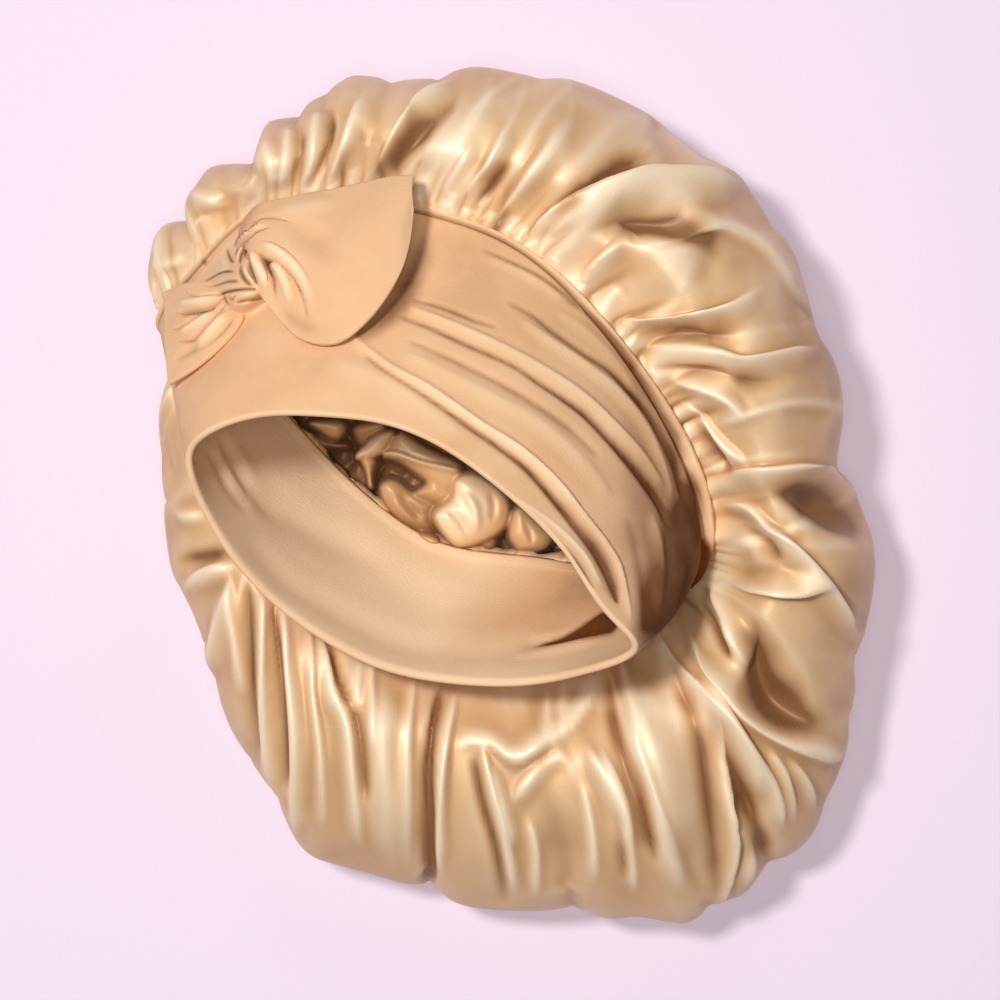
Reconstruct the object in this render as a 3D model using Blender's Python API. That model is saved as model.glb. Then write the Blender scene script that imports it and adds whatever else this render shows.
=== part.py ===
"""Sleep bonnet lying on its crown: a gathered satin bag on a wide jersey band.

Frame: X to the right, Y away, Z up, origin in the middle under the bonnet, which lies
on z = 0 with its mouth open upward and leaning to the left front.  Tables are in mm.
"""
import math

import bmesh
import bpy
import numpy as np
from mathutils import Vector

MM = 0.001

# Driving sizes, mm
SATIN_WALL = 2.0          # gathered satin, with its air
JERSEY_WALL = 3.0         # two layers of jersey
TAIL_WALL = 3.0           # the tie ends are double too
SEAM_GAP = 0.4            # between the band's edge and the crown's neck
LIP_HEIGHT = 2.2          # rolled lip along the seam
LIP_WIDTH = 0.16          # its share of the band's width
HEM_ROUND = 1.2           # how far the hem's rounded edge stands past the wall
FLOOR_INSET = 24.0        # from the widest outline in to where the crown meets the floor
FLOOR_RING = 24.0         # width of the flat ring that rests on the floor
FLANK_BELLY = 0.62        # how long the flank stays upright under the outline
FLOOR_REACH = 11.0        # how far the flank runs level before it meets the floor
RISE_EASE = 0.30          # how round the puff is on its way up from the seam
CREST_EASE = 0.55         # and on its way down from its crest to the rim
CENTRE = (-2.0, -2.0)     # middle of the crown's underside
NECK_CALM = (0.0, 0.2, 0.7)   # how much of a fold shows in the first rows past the seam
PLACE = (-0.9, -1.0, 0.0)     # from the tables' zero to the middle of the whole outline

# How finely each surface is divided
AROUND = 76
RISE_ROWS = 5
FALL_ROWS = 5
FLANK_ROWS = 3
UNDER_ROWS = 8
BAND_ROWS = 12
TAIL_ROWS = 9
TAIL_COLUMNS = 9
KNOT_RINGS = 10
KNOT_SIDES = 20

# Sections round the bonnet, clockwise from the knot at the front, over the near side to
# the nape and back along the far side.  The seam joins band and crown, the hem is the
# band's free edge, and the rim is the crown's widest outline.  "leave" is how far the
# satin runs on straight past the seam.  It then puffs up to its crest, at a share of the
# way out to the rim and at a height above the floor.
#    seam             hem               rim              leave crest_at crest_height
SECTIONS = [
    ((-124, 64, 58), (-109, 16, 127), (-130, 81, 34), 6, 0.50, 56),
    ((-109, 83, 68), (-101, 23, 134), (-115, 106, 38), 6, 0.50, 72),
    ((-89, 100, 80), (-84, 28, 140), (-89, 127, 40), 6, 0.45, 88),
    ((-58, 104, 90), (-63, 28, 145), (-51, 148, 42), 7, 0.42, 98),
    ((-28, 99, 96), (-41, 25, 148), (-4, 152, 42), 8, 0.40, 105),
    ((1, 88, 99), (-19, 15, 148), (45, 138, 42), 9, 0.40, 108),
    ((27, 66, 98), (3, -2, 145), (88, 101, 42), 9, 0.40, 107),
    ((50, 37, 90), (20, -20, 140), (114, 58, 40), 9, 0.40, 101),
    ((66, 6, 75), (32, -38, 135), (122, 16, 38), 10, 0.42, 92),
    ((67, -22, 58), (42, -51, 129), (129, -33, 36), 12, 0.44, 85),
    ((50, -32, 45), (27, -59, 118), (122, -88, 34), 20, 0.48, 80),
    ((23, -25, 33), (3, -64, 105), (92, -140, 32), 28, 0.54, 78),
    ((-6, -21, 27), (-25, -63, 97), (33, -151, 32), 30, 0.56, 76),
    ((-31, -15, 25), (-49, -57, 95), (-26, -146, 32), 30, 0.56, 74),
    ((-56, 3, 27), (-73, -43, 98), (-76, -127, 32), 28, 0.56, 72),
    ((-80, 28, 33), (-92, -25, 106), (-105, -72, 32), 24, 0.56, 68),
    ((-99, 49, 42), (-104, -6, 114), (-121, -16, 32), 18, 0.55, 60),
    ((-116, 57, 52), (-109, 7, 122), (-126, 28, 33), 9, 0.52, 55),
]

# Folds of the satin, each a line seen from above, with its half width and its height:
# up is a ridge, down a valley.
#    name           path                                             width height
CROWN_FOLDS = [
    ("frill_notch_1", ((-112, 94), (-126, 98)), 8, -7),
    ("frill_notch_2", ((-96, 113), (-106, 124)), 8, -5),
    ("frill_notch_3", ((-69, 122), (-64, 146)), 8, -5),
    ("top_ridge", ((-50, 110), (-35, 127), (-20, 148)), 9, 6),
    ("top_valley", ((-44, 110), (-28, 128), (-14, 140)), 8, -6),
    ("y_ridge", ((-18, 101), (-5, 117), (0, 130)), 8, 4),
    ("near_ridge", ((5, 92), (18, 101), (44, 110), (79, 110)), 10, 5),
    ("hollow", ((34, 97), (50, 98), (70, 97)), 14, -9),
    ("hollow_ridge", ((22, 80), (36, 88), (54, 88), (72, 84), (90, 78)), 10, 7),
    ("side_ridge", ((44, 62), (63, 61), (78, 66), (98, 76)), 10, 5),
    ("side_valley", ((52, 54), (70, 54), (110, 64)), 8, -5),
    ("side_puff", ((57, 43), (83, 28)), 18, 5),
    ("rim_notch", ((79, 12), (98, 10), (124, 12)), 9, -8),
    ("corner_ridge", ((75, -1), (88, -5), (101, -19), (124, -45)), 10, 6),
    ("corner_ridge_2", ((83, -32), (118, -30)), 10, 6),
    ("deep_fold", ((72, -44), (80, -66), (90, -80), (112, -90)), 11, -11),
    ("low_ridge", ((50, -50), (62, -66), (78, -84)), 9, 6),
    ("rim_notch_2", ((82, -106), (93, -132)), 9, -8),
    ("low_valley", ((66, -84), (74, -110), (73, -140)), 10, -5),
    ("low_ridge_2", ((41, -92), (50, -140)), 12, 5),
    ("curl_ridge", ((28, -64), (21, -77), (6, -91), (-16, -88)), 9, 5),
    ("crease", ((-24, -68), (-28, -94), (-29, -144)), 8, -8),
    ("front_ridge", ((-69, -50), (-59, -82), (-53, -128)), 9, 5),
    ("front_ridge_2", ((-90, -34), (-88, -64), (-82, -110)), 9, 5),
    ("left_ridge", ((-120, -34), (-98, -24)), 8, 4),
]

# Long folds of the band's outer face, from the knot round to the nape
BAND_FOLDS = [
    ("overlap", ((-50, 51), (-13, 27), (14, 3), (31, -20), (38, -36)), 9, 3.0),
    ("middle_fold", ((-36, 57), (-4, 42), (26, 26), (46, 8), (54, -16)), 9, 2.6),
    ("upper_fold", ((-30, 67), (-4, 59), (34, 43), (58, 12)), 9, 2.2),
    ("front_swell", ((-119, 75), (-107, 86), (-97, 96)), 8, 1.0),
]

# Lumps of satin pushed up inside, seen through the mouth
#    x     y    long wide turn height
LUMPS = [
    (-62, 22, 16, 11, 20, 22),
    (-48, 6, 15, 10, -50, 16),
    (-14, -4, 19, 14, -15, 30),
    (12, -8, 14, 12, 60, 24),
    (18, 34, 24, 16, 30, 18),
    (-26, 48, 22, 15, -20, 16),
]

# The tie ends: rows from the knot outward, an upper and a lower edge and the arch
# between them
BROAD_TAIL = [
    ((-78, 102, 98), (-77, 66, 120), 3),
    ((-70, 104, 100), (-70, 53, 131.5), 5),
    ((-59, 107, 103), (-56, 53, 135), 6),
    ((-48, 109, 107), (-46, 62, 135.5), 6),
    ((-39, 110, 110), (-37, 78, 131), 4),
    ((-33, 111, 113), (-33, 100, 121), 1),
]
SMALL_TAIL = [
    ((-104, 71, 93), (-97, 62, 112), 1),
    ((-109, 72, 88), (-101, 56, 112.5), 2),
    ((-115, 73, 82), (-109, 47, 111.5), 2),
    ((-121, 72, 75), (-118, 39, 104), 1),
]
TAIL_PLEATS = 3.5         # pleats across the small tail
TAIL_PLEAT_HEIGHT = 1.4

KNOT_ON = (-86, 77, 99)   # the point of the band that it sits on
KNOT_FACES = (-0.60, 0.38, 0.70)
KNOT_STANDS = 10.6        # from that point out to the knot's centre
KNOT_HALF = (10.5, 14.0, 7.5)
KNOT_RIDGES = 5
KNOT_RIDGE_HEIGHT = 0.07  # share of its radius
KNOT_TWIST = 2.2          # how far the ridges turn from end to end

SATIN = ("satin", (0.72, 0.50, 0.32, 1.0), 0.34, 0.25)
JERSEY = ("jersey", (0.83, 0.60, 0.40, 1.0), 0.88, 0.0)


def clear_scene():
    for thing in list(bpy.data.objects):
        bpy.data.objects.remove(thing, do_unlink=True)


def cloth_material(name, colour, roughness, metallic):
    material = bpy.data.materials.new(name)
    material.use_nodes = True
    shader = material.node_tree.nodes["Principled BSDF"]
    shader.inputs["Base Color"].default_value = colour
    shader.inputs["Roughness"].default_value = roughness
    shader.inputs["Metallic"].default_value = metallic
    return material


def unit(vectors):
    return vectors / np.maximum(np.linalg.norm(vectors, axis=-1, keepdims=True), 1e-9)


def spline_weights(t):
    """Weights of the four neighbouring controls of a uniform cubic B-spline."""
    return np.stack([(1 - t) ** 3, 3 * t ** 3 - 6 * t ** 2 + 4,
                     -3 * t ** 3 + 3 * t ** 2 + 3 * t + 1, t ** 3], axis=-1) / 6


def closed_spline(values, turns):
    """Smooth closed curve through the rows of values, read at turns from 0 to 1."""
    values = np.asarray(values, float)
    count = len(values)
    system = np.eye(count) * 4
    for row in range(count):
        system[row, row - 1] += 1
        system[row, (row + 1) % count] += 1
    controls = np.linalg.solve(system / 6, values)
    place = np.asarray(turns) * count
    first = np.floor(place).astype(int)
    weights = spline_weights(place - first)
    picks = (first[:, None] + np.arange(-1, 3)) % count
    return np.einsum("ij,ij...->i...", weights, controls[picks])


def open_spline(values, places):
    """Smooth curve through the rows of values, read at places from 0 to 1."""
    values = np.asarray(values, float)
    ends = np.concatenate([2 * values[:1] - values[1:2], values, 2 * values[-1:] - values[-2:-1]])
    place = np.asarray(places) * (len(values) - 1)
    first = np.minimum(np.floor(place).astype(int), len(values) - 2)
    t = (place - first)[:, None]
    a, b, c, d = (ends[first + k] for k in range(4))
    return 0.5 * (2 * b + (c - a) * t + (2 * a - 5 * b + 4 * c - d) * t ** 2
                  + (3 * b - a - 3 * c + d) * t ** 3)


def bezier(p0, p1, p2, p3, steps):
    """Rows of points along one cubic for every column, shaped (steps, columns, 3)."""
    t = np.asarray(steps)[:, None, None]
    return (p0 * (1 - t) ** 3 + p1 * 3 * t * (1 - t) ** 2
            + p2 * 3 * t ** 2 * (1 - t) + p3 * t ** 3)


def grid_normals(grid, closed=True):
    """Unit normals of a grid of rows and columns, closed or open across its columns."""
    if closed:
        across = np.roll(grid, -1, axis=1) - np.roll(grid, 1, axis=1)
    else:
        across = np.gradient(grid, axis=1)
    along = np.gradient(grid, axis=0)
    return unit(np.cross(across, along))


def fold_profile(distance, width):
    """1 on the fold's line, 0 at its half width and beyond, smooth between."""
    x = np.clip(distance / width, 0, 1)
    return 1 - 3 * x ** 2 + 2 * x ** 3


def distance_to_path(points, path):
    """Distance in plan from each point to a path of straight runs."""
    nearest = np.full(points.shape[:-1], 1e9)
    for start, end in zip(path[:-1], path[1:]):
        start = np.array(start, float)
        run = np.array(end, float) - start
        share = np.clip(((points[..., :2] - start) @ run) / (run @ run), 0, 1)
        foot = start + share[..., None] * run
        nearest = np.minimum(nearest, np.linalg.norm(points[..., :2] - foot, axis=-1))
    return nearest


def fold_heights(points, folds):
    total = np.zeros(points.shape[:-1])
    for _name, path, width, height in folds:
        total += height * fold_profile(distance_to_path(points, path), width)
    return total


def lump_heights(points):
    """Height of the satin lumps over the crown's floor."""
    total = np.zeros(points.shape[:-1])
    for x, y, long, wide, turn, height in LUMPS:
        angle = math.radians(turn)
        dx = points[..., 0] - x
        dy = points[..., 1] - y
        u = (dx * math.cos(angle) + dy * math.sin(angle)) / long
        v = (dy * math.cos(angle) - dx * math.sin(angle)) / wide
        total = np.maximum(total, height * fold_profile(np.hypot(u, v), 1.0))
    return total


def columns_of(field):
    """One column of the section table, read all round the bonnet."""
    turns = np.arange(AROUND) / AROUND
    values = [row[field] for row in SECTIONS]
    if np.ndim(values) == 1:
        values = [(value,) for value in values]
    return closed_spline(values, turns)


def crown_rings():
    """Rings of the crown's outer face, from the neck over the rim to the underside."""
    seam, hem, rim, leave, crest_at, crest_height = (columns_of(k) for k in range(6))
    onward = unit(seam - hem)
    neck = seam + onward * SEAM_GAP
    up = np.array([0.0, 0.0, 1.0])
    run = (rim - seam) * (1, 1, 0)
    crest = seam + run * crest_at
    crest[:, 2:] = crest_height
    rise = bezier(neck, neck + onward * leave, crest - run * crest_at * RISE_EASE, crest,
                  np.linspace(0, 1, RISE_ROWS + 1))
    fall = bezier(crest, crest + run * (1 - crest_at) * CREST_EASE,
                  rim + up * (crest_height - rim[:, 2:]) * CREST_EASE, rim,
                  np.linspace(0, 1, FALL_ROWS + 1)[1:])

    middle = np.array([*CENTRE, 0.0])
    inward = unit((middle - rim) * (1, 1, 0))
    floor = rim * (1, 1, 0) + inward * FLOOR_INSET
    flank = bezier(rim, rim - up * rim[:, 2:] * FLANK_BELLY, floor - inward * FLOOR_REACH,
                   floor, np.linspace(0, 1, FLANK_ROWS + 1)[1:])

    ring = floor + inward * FLOOR_RING
    shares = np.linspace(0, 1, UNDER_ROWS + 1)[:-1, None, None]
    under = ring + (middle - ring) * shares
    under[1:, :, 2] = lump_heights(under[1:])
    return np.concatenate([rise, fall, flank, under])


def crown_faces():
    """Outer and inner face of the crown's wall, folds and all."""
    rings = crown_rings()
    rim_row = RISE_ROWS + FALL_ROWS
    floor_row = rim_row + FLANK_ROWS
    normals = grid_normals(rings)
    fade = np.ones(len(rings))
    fade[:len(NECK_CALM)] = NECK_CALM
    fade[rim_row:floor_row + 1] = np.linspace(1, 0, FLANK_ROWS + 1)
    fade[floor_row:] = 0
    outer = rings + normals * (fold_heights(rings, CROWN_FOLDS) * fade[:, None])[..., None]
    wall = grid_normals(outer)
    wall[floor_row:floor_row + 2] = (0, 0, -1)
    inner = outer - wall * SATIN_WALL
    return outer, inner


def band_faces():
    """Outer face, inner face and rounded hem of the band."""
    seam = columns_of(0)
    hem = columns_of(1)
    shares = np.linspace(0, 1, BAND_ROWS + 1)[:, None, None]
    middle = seam + (hem - seam) * shares
    out = -grid_normals(middle)
    lip = LIP_HEIGHT * fold_profile(np.abs(shares[..., 0] - LIP_WIDTH / 2), LIP_WIDTH)
    raised = fold_heights(middle, BAND_FOLDS) * np.sin(np.pi * shares[..., 0]) + lip
    facing_up = np.clip(out[..., 2] * 4, 0, 1)
    outer = middle + out * (JERSEY_WALL / 2 + raised * facing_up)[..., None]
    inner = middle - out * JERSEY_WALL / 2
    edge = middle[-1] + unit(hem - seam) * HEM_ROUND
    return outer, inner, edge


def mesh_object(name, points, faces, material):
    mesh = bpy.data.meshes.new(name)
    mesh.from_pydata([tuple(point) for point in np.asarray(points) * MM], [], faces)
    mesh.materials.append(material)
    shape = bmesh.new()
    shape.from_mesh(mesh)
    bmesh.ops.recalc_face_normals(shape, faces=shape.faces)
    shape.to_mesh(mesh)
    shape.free()
    mesh.shade_smooth()
    thing = bpy.data.objects.new(name, mesh)
    thing.location = Vector(PLACE) * MM
    bpy.context.scene.collection.objects.link(thing)
    return thing


def loop_strip(first, second, count):
    """Faces between two closed rings of points that start at these numbers."""
    return [(first + k, first + (k + 1) % count, second + (k + 1) % count, second + k)
            for k in range(count)]


def build_crown(material):
    outer, inner = crown_faces()
    rows, around = outer.shape[:2]
    points = list(outer.reshape(-1, 3)) + list(inner.reshape(-1, 3))
    inner_start = rows * around
    faces = []
    for row in range(rows - 1):
        faces += loop_strip(row * around, (row + 1) * around, around)
        faces += loop_strip(inner_start + (row + 1) * around, inner_start + row * around, around)
    faces += loop_strip(inner_start, 0, around)
    outer_pole = len(points)
    pole_height = float(lump_heights(np.array([CENTRE]))[0])
    points.append((*CENTRE, pole_height))
    inner_pole = len(points)
    points.append((*CENTRE, pole_height + SATIN_WALL))
    last = (rows - 1) * around
    for k in range(around):
        after = (k + 1) % around
        faces.append((last + k, last + after, outer_pole))
        faces.append((inner_start + last + after, inner_start + last + k, inner_pole))
    return mesh_object("crown", points, faces, material)


def build_band(material):
    outer, inner, edge = band_faces()
    rings = list(outer) + [edge] + list(inner[::-1])
    around = outer.shape[1]
    faces = []
    for row in range(len(rings)):
        after = (row + 1) % len(rings)
        faces += loop_strip(after * around, row * around, around)
    return mesh_object("band", np.concatenate(rings), faces, material)


def tail_grid(rows, arch_pleats):
    """Middle surface of a tie end, read from its rows."""
    places = np.linspace(0, 1, TAIL_ROWS + 1)
    upper = open_spline([row[0] for row in rows], places)
    lower = open_spline([row[1] for row in rows], places)
    arch = open_spline([(row[2],) for row in rows], places)
    shares = np.linspace(0, 1, TAIL_COLUMNS + 1)[:, None]
    grid = upper[:, None] + (lower - upper)[:, None] * shares
    normals = grid_normals(grid, closed=False)
    normals *= np.sign(normals[..., 2:])
    lift = arch * np.sin(np.pi * shares[:, 0])
    lift = lift + arch_pleats * places[:, None] * np.cos(2 * np.pi * TAIL_PLEATS * shares[:, 0])
    return grid + normals * lift[..., None]


def build_tail(name, rows, pleats, material):
    middle = tail_grid(rows, pleats)
    normals = grid_normals(middle, closed=False)
    normals *= np.sign(normals[..., 2:])
    top = middle + normals * TAIL_WALL / 2
    bottom = middle - normals * TAIL_WALL / 2
    across = middle.shape[1]
    down = middle.shape[0]
    count = across * down
    faces = []
    for row in range(down - 1):
        for column in range(across - 1):
            a = row * across + column
            quad = (a, a + across, a + across + 1, a + 1)
            faces.append(quad)
            faces.append(tuple(count + k for k in reversed(quad)))
    border = [column for column in range(across)]
    border += [row * across + across - 1 for row in range(1, down)]
    border += [(down - 1) * across + column for column in range(across - 2, -1, -1)]
    border += [row * across for row in range(down - 2, 0, -1)]
    for here, after in zip(border, border[1:] + border[:1]):
        faces.append((here, after, count + after, count + here))
    points = np.concatenate([top.reshape(-1, 3), bottom.reshape(-1, 3)])
    return mesh_object(name, points, faces, material)


def build_knot(material):
    """A rounded lump whose twisted cloth shows as slanting ridges."""
    half_across, half_along, half_thick = KNOT_HALF
    points = []
    for ring in range(1, KNOT_RINGS):
        polar = math.pi * ring / KNOT_RINGS
        for side in range(KNOT_SIDES):
            angle = 2 * math.pi * side / KNOT_SIDES
            wave = math.cos(KNOT_RIDGES * angle + KNOT_TWIST * polar)
            radius = math.sin(polar) * (1 + KNOT_RIDGE_HEIGHT * wave)
            points.append((half_across * radius * math.cos(angle),
                           half_along * math.cos(polar),
                           half_thick * radius * math.sin(angle)))
    points += [(0, half_along, 0), (0, -half_along, 0)]
    faces = []
    for ring in range(KNOT_RINGS - 2):
        faces += loop_strip((ring + 1) * KNOT_SIDES, ring * KNOT_SIDES, KNOT_SIDES)
    first_pole = (KNOT_RINGS - 1) * KNOT_SIDES
    last = (KNOT_RINGS - 2) * KNOT_SIDES
    for side in range(KNOT_SIDES):
        after = (side + 1) % KNOT_SIDES
        faces.append((side, after, first_pole))
        faces.append((last + after, last + side, first_pole + 1))
    knot = mesh_object("knot", points, faces, material)
    faces_out = Vector(KNOT_FACES).normalized()
    knot.location += (Vector(KNOT_ON) + faces_out * KNOT_STANDS) * MM
    knot.rotation_mode = "QUATERNION"
    knot.rotation_quaternion = faces_out.to_track_quat("Z", "Y")
    return knot


def main():
    clear_scene()
    satin = cloth_material(*SATIN)
    jersey = cloth_material(*JERSEY)
    build_crown(satin)
    build_band(jersey)
    build_knot(jersey)
    build_tail("broad_tail", BROAD_TAIL, 0.0, jersey)
    build_tail("small_tail", SMALL_TAIL, TAIL_PLEAT_HEIGHT, jersey)


main()
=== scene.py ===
"""Looks of the sleep bonnet: gathered satin, stretch jersey band, twisted knot and two tie ends.

The bonnet lies on its crown with its mouth up.  Tables are in mm, in the frame of the solids:
X to the right, Y away, Z up.  PLACE carries the tables' zero to the middle of the outline.
"""
import math
import bmesh
import bpy
import numpy as np
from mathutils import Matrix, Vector
from mathutils.bvhtree import BVHTree


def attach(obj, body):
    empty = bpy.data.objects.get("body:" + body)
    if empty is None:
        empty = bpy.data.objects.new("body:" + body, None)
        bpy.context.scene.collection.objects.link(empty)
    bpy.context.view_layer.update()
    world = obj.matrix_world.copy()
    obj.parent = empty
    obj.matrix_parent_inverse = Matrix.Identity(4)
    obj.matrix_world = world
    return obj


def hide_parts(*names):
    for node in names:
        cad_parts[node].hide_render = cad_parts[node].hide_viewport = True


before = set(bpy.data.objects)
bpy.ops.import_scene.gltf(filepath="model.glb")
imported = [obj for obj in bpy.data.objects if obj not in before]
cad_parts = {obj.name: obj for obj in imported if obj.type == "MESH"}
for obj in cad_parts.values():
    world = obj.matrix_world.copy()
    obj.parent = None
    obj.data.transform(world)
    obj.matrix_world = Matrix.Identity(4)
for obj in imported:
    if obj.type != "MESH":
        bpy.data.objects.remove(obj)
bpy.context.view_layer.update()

MM = 0.001
PLACE = np.array([-0.9, -1.0, 0.0])
UP = np.array([0.0, 0.0, 1.0])
LEVEL = np.array([1.0, 1.0, 0.0])

# ---------------------------------------------------------------- sizes, mm

SATIN_THICK = 0.8         # one gathered layer with the air in its weave
JERSEY_THICK = 2.6        # two layers of jersey
TAIL_THICK = 2.0

# The crown without its folds
CENTRE = (-2.0, -2.0)     # middle of its outline
SEAM_TUCK = 1.5           # how far the satin starts inside the band's edge
RISE_EASE = 0.30          # roundness of the crest toward the seam, and toward the rim
CREST_EASE = 0.55
FLOOR_INSET = 24.0        # how far inside the rim it meets the floor
FLANK_BELLY = 0.62        # share of the rim's height in which it goes straight down
FLOOR_REACH = 11.0        # and how far it runs in level before it touches down

# Folds
FOLD_GAIN = 0.95          # share of its tabled height that a fold of the satin keeps
FOLD_START = (2, 14)      # a fold of the satin comes up between these depths from the seam
PRESSED = 0.4             # folds sharper than this are pressed
VALLEY_WIDTH = 0.7        # share of its tabled width and depth that a pressed valley keeps
VALLEY_DEPTH = 0.8
END_POINT = 1.6           # a fold comes to a point over this many of its half widths
LEE_STEEP = 1.1           # share of its half width, per lean, that a fold loses on its lee side
LEE_MOST = 0.75
LEE_SOFT = 0.3            # half the way over which the two sides merge
RIPPLE_GAIN = 1.7         # brings the tops of a ripple to about 1

# The satin round its seam, its rim and the floor
CALM = 5                  # gathers come up over this depth from the seam
FLOOR_CALM = 0.04         # share of the rows past the rim that still keep all their folds
ROOM_RUN = 45.0           # where the rim is nearer to the seam than this, the folds are lower
ROOM_LEAST = 0.25
ROOM_TIGHT = 0.75         # with less room than this share the cloth is smoother as well
ROOM_TIGHT_RUN = 0.4
SMOOTHED = (1, 7)         # passes of smoothing where there is room, and where it is tight
INNER_SMOOTHED = 6        # the wall's inner face follows the outer one less closely
FINE_SMOOTHED = 10        # what this many passes take off is the cloth's fine relief

# The band
NAPE_TURN = 0.50          # where the nape is, of a turn from the knot
NAPE_SPREAD = 0.13
LIP_NARROW = 1.0          # half width of the rolled lip along the seam
LIP_BROAD = 3.1           # and at the nape
LIP_ROUND = 0.9
LIP_TUCK = 1.0            # depth of the crease beside it, of the lip's half width
TUCK_AT = 2.4             # where that crease lies and how wide it is, in the same measure
TUCK_WIDE = 0.6
SEAM_ROLL = 1.6           # half width of the roll along the seam on the band's inner face
SEAM_ROUND = 0.7
HEM_ROUND = 1.3           # how far the rolled hem stands past the band's end
HEM_STEPS = 6
FOLDS_FROM = 0.02         # share of the band's width at either edge where its folds stay low
FACING = (0.02, 0.3)      # a face has its folds where its normal looks up by this much
SLACK = (14, 40, 31)      # ripple of the loose jersey: cells a turn, their depth, seed
SLACK_HIGH = 0.5
SLACK_INSIDE = 0.6        # share of it on the inner face

# The knot and the tie ends
KNOT_HEIGHT = 14.0
KNOT_REACH = (14.0, 6.0)  # how far in from its edge it is full: left and away, right and near
KNOT_TURN = (0.7, -0.7)   # the way from the one side to the other
KNOT_TURN_RUN = 12
KNOT_STEP = 0.4
KNOT_EDGE = 2.0           # how far its edge runs on under the band's face
KNOT_SINK = 0.9           # how far below that face its folds and its edge go
KNOT_EDGE_SLOPE = 0.8
KNOT_FOLDS_FROM = 4       # its folds have their full height this far in from its edge
TAIL_EDGE_STEP = 0.5      # share of full thickness won with each row from a tie end's edge

# How finely each surface is divided
CROWN_COLUMNS = 780
RISE_ROWS = 38
FALL_ROWS = 46
FLANK_ROWS = 16
BASE_COLUMNS = 300
BASE_ROWS = 64
BAND_COLUMNS = 640
BAND_ROWS = 96
INNER_EACH = 3            # the band's inner face takes every third row
TAIL_ROWS = 130
TAIL_COLUMNS = 110
OUTLINE_STEPS = 8         # steps from one point of an outline to the next

# How many steps a fold's line takes from one of its points to the next, and the height of a
# fold whose painted shade or highlight is full
SATIN_READ = (5, 4.0)
HEAP_READ = (8, 4.0)
BAND_READ = (12, 1.6)
TWIST_READ = (8, 1.5)

# Sections round the bonnet, clockwise from above: from the knot at the left over the side that
# lies away, where the band shows its outer face, to the nape at the right, and back along the
# near side.  Each has where band meets crown, the band's free edge, the crown's widest outline,
# how the satin puffs up on its way out, and how far the band bows out.
SEAM, HEM, RIM, LEAVE, CREST_AT, CREST_HEIGHT, BOW = range(7)
#    seam             hem               rim              leave crest_at crest_height bow
SECTIONS = [
    ((-124, 64, 58), (-109, 16, 127), (-130, 81, 34), 6, 0.50, 56, 0),
    ((-109, 83, 68), (-101, 23, 134), (-115, 106, 38), 6, 0.50, 72, 0),
    ((-89, 100, 80), (-84, 28, 140), (-89, 127, 40), 6, 0.45, 88, 0),
    ((-58, 104, 90), (-63, 28, 145), (-51, 148, 42), 7, 0.42, 98, 1),
    ((-28, 99, 96), (-41, 25, 148), (-4, 152, 42), 8, 0.40, 105, 2),
    ((1, 88, 99), (-19, 15, 148), (45, 138, 42), 9, 0.40, 108, 3),
    ((27, 66, 98), (3, -2, 145), (88, 101, 42), 9, 0.40, 107, 3),
    ((50, 37, 90), (20, -20, 140), (114, 58, 40), 9, 0.40, 101, 3),
    ((66, 6, 75), (32, -38, 135), (122, 16, 38), 10, 0.42, 92, 3),
    ((67, -22, 58), (42, -51, 129), (129, -33, 36), 12, 0.44, 85, 3),
    ((50, -32, 45), (27, -59, 118), (122, -88, 34), 20, 0.48, 80, 3),
    ((23, -25, 33), (3, -64, 105), (92, -140, 32), 28, 0.54, 78, 3),
    ((-6, -21, 27), (-25, -63, 97), (33, -151, 32), 30, 0.56, 76, 4),
    ((-31, -15, 25), (-49, -57, 95), (-26, -146, 32), 30, 0.56, 74, 4),
    ((-56, 3, 27), (-73, -43, 98), (-76, -127, 32), 28, 0.56, 72, 3),
    ((-80, 28, 33), (-92, -25, 106), (-105, -72, 32), 24, 0.56, 68, 2),
    ((-99, 49, 42), (-104, -6, 114), (-121, -16, 32), 18, 0.55, 60, 1),
    ((-116, 57, 52), (-109, 7, 122), (-126, 28, 33), 9, 0.52, 55, 0),
]

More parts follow.
